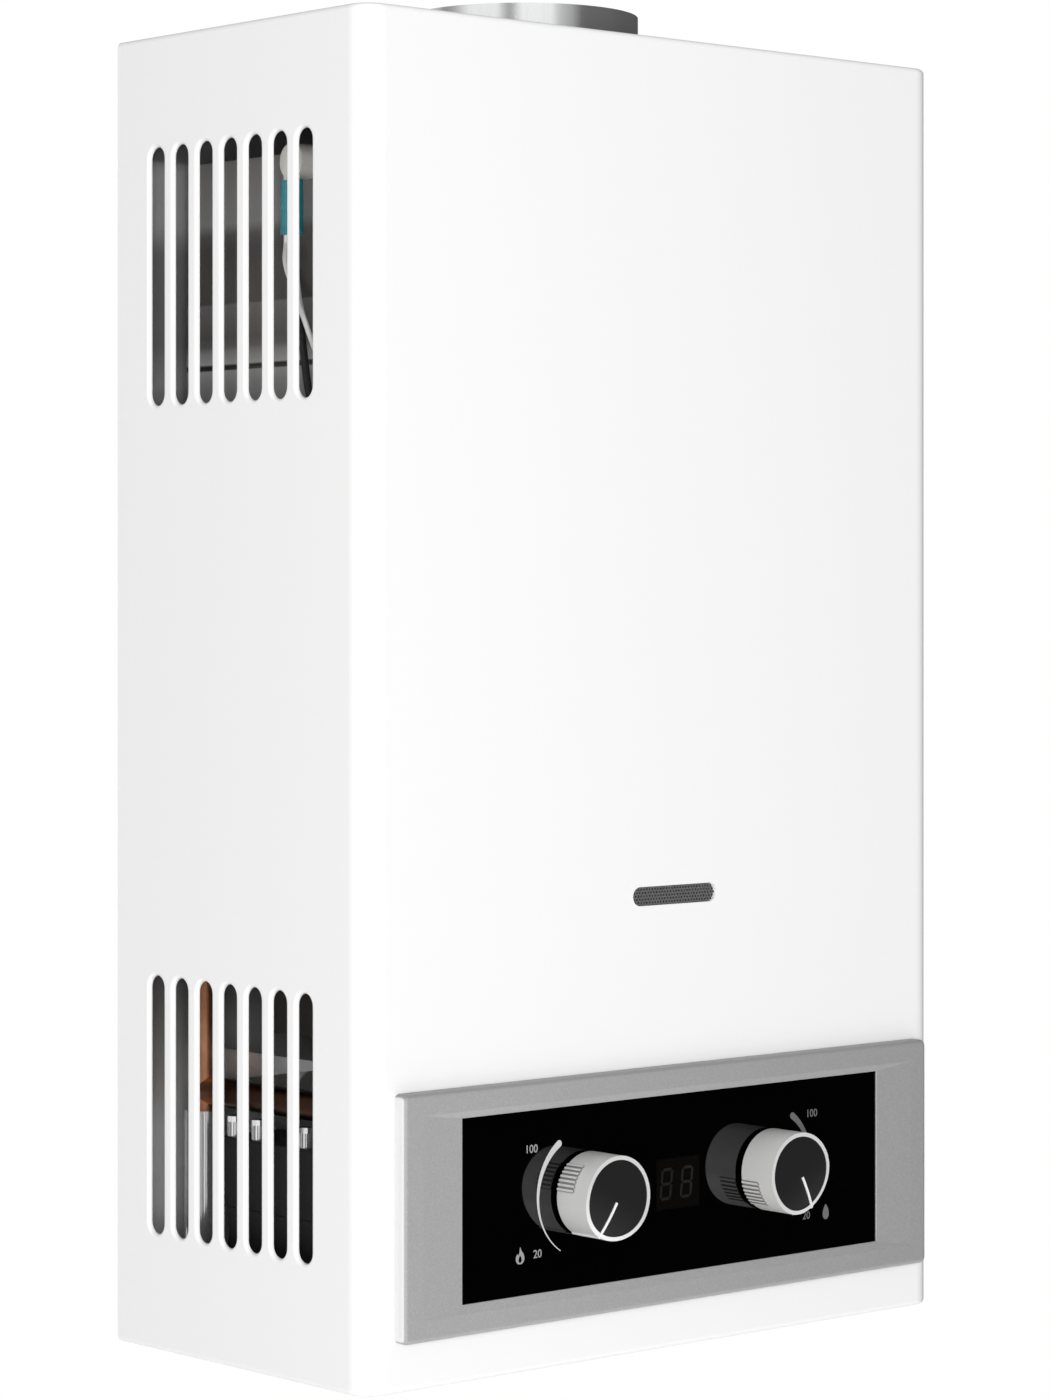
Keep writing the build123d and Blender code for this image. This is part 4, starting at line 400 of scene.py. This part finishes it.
def smoked_window():
    """Display cover behind the glass, with the faint rows of its filter."""
    material = start("smoked_window", Specular_IOR_Level=0.5)
    rows = waves(material, 260.0, "Z")
    set_colour(material, blend_colours(material, rows, (0.0020, 0.0016, 0.0014), (0.0040, 0.0032, 0.0028)))
    set_roughness(material, remap(material, noise(material, 18.0, 4.0), 0.03, 0.07))
    return material


def knob_aluminium():
    """Satin anodised aluminium, turned and blasted."""
    material = start("knob_aluminium", Metallic=0.35)
    turned = noise(material, 300.0, 3.0, (1, 14, 1))
    grain = noise(material, 2600.0, 2.0)
    bright = blend_colours(material, grain, (0.84, 0.835, 0.825), (0.94, 0.935, 0.925))
    # Painted shade between the grip ribs, darker where the ribs close in
    rib_occlusion = material.node_tree.nodes.new("ShaderNodeAmbientOcclusion")
    rib_occlusion.inputs["Distance"].default_value = 0.003
    unshaded_share = remap(material, rib_occlusion.outputs["AO"], 0.0, 1.0, 0.72, 0.92)
    set_colour(material, blend_colours(material, unshaded_share, (0.30, 0.295, 0.29), bright))
    set_roughness(material, remap(material, turned, 0.30, 0.40))
    add_bump(material, grain, 0.00001, 0.35)
    add_bump(material, turned, 0.000008, 0.3)
    return material


def knob_black():
    """Fine-grained black plastic."""
    material = start("knob_black", Specular_IOR_Level=0.45)
    grain = noise(material, 2200.0, 3.0)
    set_colour(material, blend_colours(material, grain, (0.004, 0.004, 0.0045), (0.011, 0.011, 0.012)))
    set_roughness(material, remap(material, grain, 0.42, 0.58))
    add_bump(material, grain, 0.00002, 0.5)
    return material


def print_white(name="print_white", strength=1.0):
    """Screen-printed ink, light grey, slightly uneven at its grain."""
    material = start(name)
    grain = noise(material, 1500.0, 3.0)
    low = tuple(strength * value for value in (0.50, 0.50, 0.505))
    high = tuple(strength * value for value in (0.62, 0.62, 0.625))
    set_colour(material, blend_colours(material, grain, low, high))
    set_roughness(material, remap(material, grain, 0.35, 0.55))
    return material


def pointer_white():
    """Glossy white plastic of the pointers."""
    material = start("pointer_white")
    grain = noise(material, 900.0, 3.0)
    set_colour(material, blend_colours(material, grain, (0.80, 0.80, 0.795), (0.87, 0.87, 0.865)))
    set_roughness(material, remap(material, grain, 0.25, 0.4))
    return material


def bright_steel():
    """Rolled stainless sheet with fine vertical brushing."""
    material = start("bright_steel", Metallic=0.86)
    brushed = noise(material, 90.0, 5.0, (8, 8, 0.5))
    set_colour(material, blend_colours(material, brushed, (0.76, 0.765, 0.77), (0.86, 0.865, 0.87)))
    set_roughness(material, remap(material, brushed, 0.11, 0.19))
    add_bump(material, brushed, 0.00001, 0.25)
    return material


def copper():
    """Drawn copper that has browned unevenly, with painted shade inwards and ahead."""
    material = start("copper", Metallic=1.0)
    tarnish = remap(material, noise(material, 45.0, 6.0), 0.0, 1.0, 0.35, 0.7)
    colour = blend_colours(material, tarnish, (0.74, 0.37, 0.21), (0.42, 0.17, 0.085))
    stains = remap(material, noise(material, 160.0, 5.0), 0.0, 0.7, 0.6, 0.85)
    stains_and_shade = blend_colours(material, stains, colour, (0.16, 0.075, 0.045))
    # Painted shade: the pipe darkens further inwards and further ahead
    inward = remap(material, part_of(material, place(material), "X"), 0.0, 0.9, *COPPER_SHADE_X)
    stains_and_shade = blend_colours(material, inward, stains_and_shade, (0.085, 0.035, 0.020))
    ahead = remap(material, part_of(material, place(material), "Y"), 0.0, 0.95, *COPPER_SHADE_Y)
    set_colour(material, blend_colours(material, ahead, stains_and_shade, (0.040, 0.018, 0.010)))
    drawn = noise(material, 120.0, 4.0, (6, 6, 0.4))
    set_roughness(material, remap(material, drawn, 0.28, 0.46))
    add_bump(material, drawn, 0.00001, 0.3)
    return material


def brass():
    """Machined and hot-pressed brass."""
    material = start("brass", Metallic=1.0)
    clouds = noise(material, 60.0, 5.0)
    set_colour(material, blend_colours(material, clouds, (0.66, 0.50, 0.25), (0.80, 0.64, 0.36)))
    set_roughness(material, remap(material, noise(material, 350.0, 4.0), 0.26, 0.42))
    add_bump(material, noise(material, 900.0, 3.0), 0.00002, 0.3)
    return material


def cast_zinc():
    """Die-cast alloy with a fine cast skin."""
    material = start("cast_zinc", Metallic=1.0)
    skin = noise(material, 700.0, 4.0)
    set_colour(material, blend_colours(material, noise(material, 40.0, 4.0), (0.42, 0.42, 0.43),
                                       (0.54, 0.54, 0.55)))
    set_roughness(material, remap(material, skin, 0.40, 0.60))
    add_bump(material, skin, 0.00006, 0.5)
    return material


def porcelain():
    """Glazed ceramic."""
    material = start("porcelain", Coat_Weight=0.8, Coat_Roughness=0.06)
    specks = remap(material, noise(material, 900.0, 4.0), 0.0, 1.0, 0.6, 0.8)
    set_colour(material, blend_colours(material, specks, (0.80, 0.78, 0.73), (0.66, 0.62, 0.55)))
    set_roughness(material, remap(material, noise(material, 200.0), 0.22, 0.38))
    return material


def black_plastic():
    """Moulded black plastic with spark-eroded grain."""
    material = start("black_plastic", Specular_IOR_Level=0.25)
    grain = noise(material, 1400.0, 4.0)
    set_colour(material, blend_colours(material, noise(material, 30.0, 3.0), (0.006, 0.006, 0.0065),
                                       (0.013, 0.013, 0.0135)))
    set_roughness(material, remap(material, grain, 0.42, 0.6))
    add_bump(material, grain, 0.00004, 0.4)
    return material


def diaphragm_rubber():
    """Black rubber with a dull bloom."""
    material = start("diaphragm_rubber")
    bloom = noise(material, 80.0, 5.0)
    set_colour(material, blend_colours(material, bloom, (0.018, 0.018, 0.018), (0.045, 0.045, 0.046)))
    set_roughness(material, remap(material, bloom, 0.6, 0.8))
    return material


def teal_plastic():
    """Clear-tinted boots, brighter where they are thin."""
    material = start("teal_plastic", Transmission_Weight=0.25, Coat_Weight=0.4, Coat_Roughness=0.08)
    depth = noise(material, 220.0, 3.0)
    set_colour(material, blend_colours(material, depth, (0.006, 0.16, 0.22), (0.03, 0.42, 0.50)))
    set_roughness(material, remap(material, depth, 0.16, 0.32))
    return material


def insulation(name, dark, light):
    """Covering of a lead, between two tones."""
    material = start(name)
    grain = noise(material, 500.0, 3.0)
    set_colour(material, blend_colours(material, grain, dark, light))
    set_roughness(material, remap(material, grain, 0.42, 0.6))
    return material


def white_insulation():
    """Smooth white covering of the sensor's leads."""
    return insulation("white_insulation", (0.66, 0.66, 0.64), (0.80, 0.80, 0.78))


def black_insulation():
    """Braided black covering."""
    material = insulation("black_insulation", (0.012, 0.012, 0.012), (0.035, 0.035, 0.036))
    strands = cells(material, 1100.0, (1, 1, 0.6))
    add_bump(material, strands, 0.0002, 0.9)
    return material


def zinc_screws():
    """Bright zinc plate."""
    material = start("zinc_screws", Metallic=1.0)
    clouds = noise(material, 400.0, 3.0)
    set_colour(material, blend_colours(material, clouds, (0.55, 0.56, 0.55), (0.68, 0.68, 0.66)))
    set_roughness(material, remap(material, clouds, 0.25, 0.4))
    return material


def copper_winding():
    """Coil wound in even layers under clear tape."""
    material = start("copper_winding", Metallic=0.6, Coat_Weight=0.5, Coat_Roughness=0.15)
    turns = waves(material, 400.0)
    set_colour(material, blend_colours(material, turns, (0.20, 0.06, 0.02), (0.50, 0.20, 0.08)))
    set_roughness(material, remap(material, turns, 0.3, 0.5))
    add_bump(material, turns, 0.0001, 0.6)
    return material


def finishes():
    """One material for each slot of the record, and those of single nodes."""
    makers = (white_enamel, galvanised_sheet, hood_steel, dark_burner_steel, plate_steel, silver_moulding, black_glass,
              smoked_window, knob_aluminium, knob_black, pointer_white, bright_steel, copper, brass, cast_zinc,
              porcelain, black_plastic, diaphragm_rubber, teal_plastic, white_insulation, black_insulation,
              zinc_screws, copper_winding)
    made = {make.__name__: make() for make in makers}
    made["display_block"] = made.pop("smoked_window")
    return made


def dress_nodes(made):
    """Give every CAD node the material of its slot, or its own finish."""
    for entry in frame["record"]["subparts"]:
        node = frame["nodes"][entry["node"]]
        node.data.materials.clear()
        node.data.materials.append(made[NODE_FINISH.get(entry["node"], entry["material_slot"])])


# Meshes made here

def finish_piece(piece, name, material, body="heater"):
    """Common end of every piece: its material, slot and body."""
    piece.name = name
    piece.data.name = name
    piece.data.materials.clear()
    piece.data.materials.append(material)
    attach(piece, body)
    return piece


def pressed_flat(holder, name, centre, face_y, material):
    """The filled outlines of a curve or a text as a thin print that stands on the glass."""
    bpy.context.scene.collection.objects.link(holder)
    bpy.context.view_layer.update()
    mesh = bpy.data.meshes.new_from_object(holder)
    bpy.data.objects.remove(holder)
    for vertex in mesh.vertices:
        x, z, y = vertex.co
        vertex.co = (centre[0] + x, face_y - PRINT_THICKNESS / 2 - y, centre[1] + z)
    mesh.flip_normals()
    mesh.update()
    piece = bpy.data.objects.new(name, mesh)
    bpy.context.scene.collection.objects.link(piece)
    return finish_piece(piece, name, material)


def printed(name, outlines, face_y, material):
    """Thin print on the glass from closed outlines of (x, z) points. An inner outline is a hole."""
    curve = bpy.data.curves.new(name, "CURVE")
    curve.dimensions = "2D"
    curve.fill_mode = "BOTH"
    curve.extrude = PRINT_THICKNESS / 2
    for outline in outlines:
        spline = curve.splines.new("POLY")
        spline.points.add(len(outline) - 1)
        for point, (x, z) in zip(spline.points, outline):
            point.co = (x, z, 0.0, 1.0)
        spline.use_cyclic_u = True
    return pressed_flat(bpy.data.objects.new(name, curve), name, (0.0, 0.0), face_y, material)


def arc_outline(centre, thick_angle, thin_angle, steps=48):
    """A scale arc that tapers from a round thick end to a thin one."""
    inner, outer = [], []
    for step in range(steps + 1):
        share = step / steps
        angle = radians(thick_angle + (thin_angle - thick_angle) * share)
        half = (ARC_THICK * (1 - share) ** 1.5 + ARC_THIN) / 2
        for line, radius in ((inner, ARC_RADIUS - half), (outer, ARC_RADIUS + half)):
            line.append((centre[0] + radius * cos(angle), centre[1] + radius * sin(angle)))
    turn = 1 if thin_angle > thick_angle else -1
    start_angle = radians(thick_angle)
    end_centre = (centre[0] + ARC_RADIUS * cos(start_angle), centre[1] + ARC_RADIUS * sin(start_angle))
    cap = []
    for step in range(1, CAP_STEPS):
        angle = start_angle - turn * pi * step / CAP_STEPS
        half = (ARC_THICK + ARC_THIN) / 2
        cap.append((end_centre[0] + half * cos(angle), end_centre[1] + half * sin(angle)))
    return outer[::-1] + cap + inner


def printed_number(name, text, centre, face_y, material):
    """A plain number from Blender's own font, as a thin print."""
    data = bpy.data.curves.new(name, "FONT")
    data.body = text
    data.size = NUMBER_SIZE
    data.align_x = "CENTER"
    data.align_y = "CENTER"
    data.extrude = PRINT_THICKNESS / 2
    data.offset = NUMBER_WEIGHT
    return pressed_flat(bpy.data.objects.new(name, data), name, centre, face_y, material)


def drop_outline(centre, height, steps=40):
    """A water drop: a round foot drawn up to a point."""
    points = []
    for step in range(steps):
        turn = 2 * pi * step / steps
        x = 0.30 * height * sin(turn) * (1 + cos(turn)) * 0.5
        z = -0.5 * height * cos(turn)
        width = 0.36 * height * sin(turn) * sin(turn / 2) ** 1.4
        points.append((centre[0] + 0.35 * x + width, centre[1] - z - 0.02 * height))
    return points


def smooth_closed(corners, steps=6):
    """Closed smooth line through given corners."""
    count = len(corners)
    points = []
    for index in range(count):
        before, start_point = corners[index - 1], corners[index]
        end_point, after = corners[(index + 1) % count], corners[(index + 2) % count]
        for step in range(steps):
            share = step / steps
            point = []
            for axis in (0, 1):
                p0, p1, p2, p3 = before[axis], start_point[axis], end_point[axis], after[axis]
                value = 0.5 * (2 * p1 + (p2 - p0) * share + (2 * p0 - 5 * p1 + 4 * p2 - p3) * share**2
                               + (3 * p1 - p0 - 3 * p2 + p3) * share**3)
                point.append(value)
            points.append(tuple(point))
    return points


def flame_outlines(centre, height):
    """A flame with a small inner tongue left open."""
    lines = []
    for corners in (FLAME_OUTER, FLAME_INNER):
        line = smooth_closed(corners)
        lines.append([(centre[0] + x * height, centre[1] + z * height) for x, z in line])
    return lines


def segment_outlines(centre):
    """The seven bars of one digit, slightly slanted."""
    half_w, half_h, half_s = DIGIT_WIDTH / 2, DIGIT_HEIGHT / 2, DIGIT_STROKE / 2
    lines = []

    def bar(x0, z0, x1, z1):
        length = hypot(x1 - x0, z1 - z0)
        along = ((x1 - x0) / length, (z1 - z0) / length)
        across = (-along[1], along[0])
        begin, end = DIGIT_GAP, length - DIGIT_GAP
        reach = [(begin, 0), (begin + half_s, 1), (end - half_s, 1), (end, 0), (end - half_s, -1),
                 (begin + half_s, -1)]
        line = []
        for run, side in reach:
            x = x0 + along[0] * run + across[0] * side * half_s
            z = z0 + along[1] * run + across[1] * side * half_s
            line.append((centre[0] + x + DIGIT_SLANT * z, centre[1] + z))
        lines.append(line)

    w, t = half_w - half_s, half_h - half_s
    for z in (-t, 0, t):
        bar(-w, z, w, z)
    for x in (-w, w):
        bar(x, -t, x, 0)
        bar(x, 0, x, t)
    return lines


def centre_of(node):
    """Middle of a CAD node's box."""
    low, high = (Vector(corner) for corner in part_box(node))
    return (low + high) / 2


def beside(centre, offset):
    """A point at an offset from a centre."""
    return centre[0] + offset[0], centre[1] + offset[1]


def print_fascia():
    """Scale arcs, numbers, pictograms and digits on the black glass."""
    ink = print_white()
    grey = print_white("print_grey", 0.55)
    dim = print_white("print_dim", 0.26)
    face_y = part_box("fascia")[0][1]
    gas, water = centre_of("gas_spindle"), centre_of("water_spindle")
    gas_centre, water_centre = (gas.x, gas.z), (water.x, water.z)
    printed("gas_scale_arc", [arc_outline(gas_centre, *GAS_ARC)], face_y, ink)
    printed("water_scale_arc", [arc_outline(water_centre, *WATER_ARC)], face_y, dim)
    for name, text, offset in NUMBERS:
        centre, colour = (gas_centre, grey) if name.startswith("gas") else (water_centre, dim)
        printed_number(name, text, beside(centre, offset), face_y, colour)
    flame = flame_outlines(beside(gas_centre, FLAME_OFFSET), FLAME_HEIGHT)
    printed("gas_pictogram", flame, face_y, grey)
    drop = drop_outline(beside(water_centre, DROP_OFFSET), DROP_HEIGHT)
    printed("water_pictogram", [drop], face_y, dim)


def dress_display(made):
    """Smoked window with two unlit digits, lying on the black glass in front of the display block."""
    face_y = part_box("fascia")[0][1]
    centre = centre_of("display_module")
    window = [(centre.x + side * WINDOW_HALF_WIDTH, centre.z + end * WINDOW_HALF_HEIGHT)
              for side, end in ((-1, -1), (1, -1), (1, 1), (-1, 1))]
    printed("display_window", [window], face_y, made["display_block"])
    unlit = start("unlit_segment", Roughness=0.35)
    grain = noise(unlit, 900.0, 2.0)
    set_colour(unlit, blend_colours(unlit, grain, (0.006, 0.005, 0.0045), (0.010, 0.008, 0.007)))
    lines = []
    for side in (-0.5, 0.5):
        lines += segment_outlines((centre.x + side * DIGIT_PITCH - DIGIT_SHIFT, centre.z))
    printed("display_digits", lines, face_y - PRINT_THICKNESS, unlit)


# Studio and camera

def build_camera():
    """Camera at the photograph's place, level, with the frame shifted down."""
    data = bpy.data.cameras.new("camera")
    data.lens = CAMERA_LENS
    data.sensor_width = CAMERA_SENSOR
    data.shift_y = CAMERA_SHIFT_Y
    data.clip_start = CAMERA_NEAR
    camera = bpy.data.objects.new("camera", data)
    camera.location = CAMERA_PLACE
    camera.rotation_euler = (pi / 2, 0.0, -CAMERA_YAW)
    bpy.context.scene.collection.objects.link(camera)
    bpy.context.scene.camera = camera


def build_world():
    """Even white surroundings. Glossy surfaces find a soft box, grey walls and a black cloth instead."""
    world = bpy.data.worlds.new("studio")
    bpy.context.scene.world = world
    world.use_nodes = True
    nodes, links = world.node_tree.nodes, world.node_tree.links
    background = nodes["Background"]
    direction = nodes.new("ShaderNodeTexCoord").outputs["Generated"]
    ahead = calculate(world, "MULTIPLY", part_of(world, direction, "Y"), -1.0)
    azimuth = calculate(world, "ARCTAN2", part_of(world, direction, "X"), ahead)
    degrees_round = remap(world, azimuth, -180.0, 180.0, -pi, pi)
    walls = grey_ramp(world, degrees_round, MIRRORED_LEVELS)
    overhead = remap(world, part_of(world, direction, "Z"), 0.0, 1.0, *OVERHEAD_RANGE)
    overhead.node.interpolation_type = "SMOOTHSTEP"
    mirrored = blend_levels(world, overhead, walls, OVERHEAD_LEVEL)
    path = nodes.new("ShaderNodeLightPath").outputs
    level = blend_levels(world, path["Is Glossy Ray"], WORLD_LEVEL, mirrored)
    seen = calculate(world, "MAXIMUM", path["Is Camera Ray"], path["Is Transmission Ray"])
    background.inputs["Color"].default_value = (1, 1, 1, 1)
    links.new(blend_levels(world, seen, level, 1.0), background.inputs["Strength"])


def build_floor():
    """Pale floor below the heater, far enough down for a wall-hung appliance."""
    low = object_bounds()[0]
    mesh = bpy.data.meshes.new("floor")
    sheet = bmesh.new()
    bmesh.ops.create_grid(sheet, x_segments=2, y_segments=2, size=FLOOR_SIZE / 2)
    sheet.to_mesh(mesh)
    sheet.free()
    floor = bpy.data.objects.new("floor", mesh)
    floor.location = (0, 0, low[2] - FLOOR_DROP)
    material = start("pale_floor", Roughness=0.9, Specular_IOR_Level=0.1, Emission_Color=(1, 1, 1, 1))
    clouds = noise(material, 1.5)
    set_colour(material, blend_colours(material, clouds, (0.90, 0.90, 0.90), (0.92, 0.92, 0.92)))
    # Direct views of the floor are lifted to white, and the shadow stays in its lit part
    nodes, links = material.node_tree.nodes, material.node_tree.links
    path = nodes.new("ShaderNodeLightPath").outputs
    seen = calculate(material, "MAXIMUM", path["Is Camera Ray"], path["Is Glossy Ray"])
    seen = calculate(material, "MAXIMUM", seen, path["Is Transmission Ray"])
    lift = calculate(material, "MULTIPLY", seen, FLOOR_LIFT)
    links.new(lift, nodes["Principled BSDF"].inputs["Emission Strength"])
    mesh.materials.append(material)
    bpy.context.scene.collection.objects.link(floor)


def build_light():
    """A large soft light beside the camera, which mirrors don't show."""
    data = bpy.data.lights.new("key_light", "AREA")
    data.size = KEY_SIZE
    data.energy = KEY_POWER
    light = bpy.data.objects.new("key_light", data)
    light.location = KEY_PLACE
    light.visible_camera = False
    light.visible_glossy = False
    light.rotation_euler = (Vector(KEY_TARGET) - Vector(KEY_PLACE)).to_track_quat("-Z", "Y").to_euler()
    bpy.context.scene.collection.objects.link(light)


build_camera()
build_world()
build_floor()
build_light()
made = finishes()
dress_nodes(made)
print_fascia()
dress_display(made)

bpy.context.scene.view_settings.view_transform = "Standard"
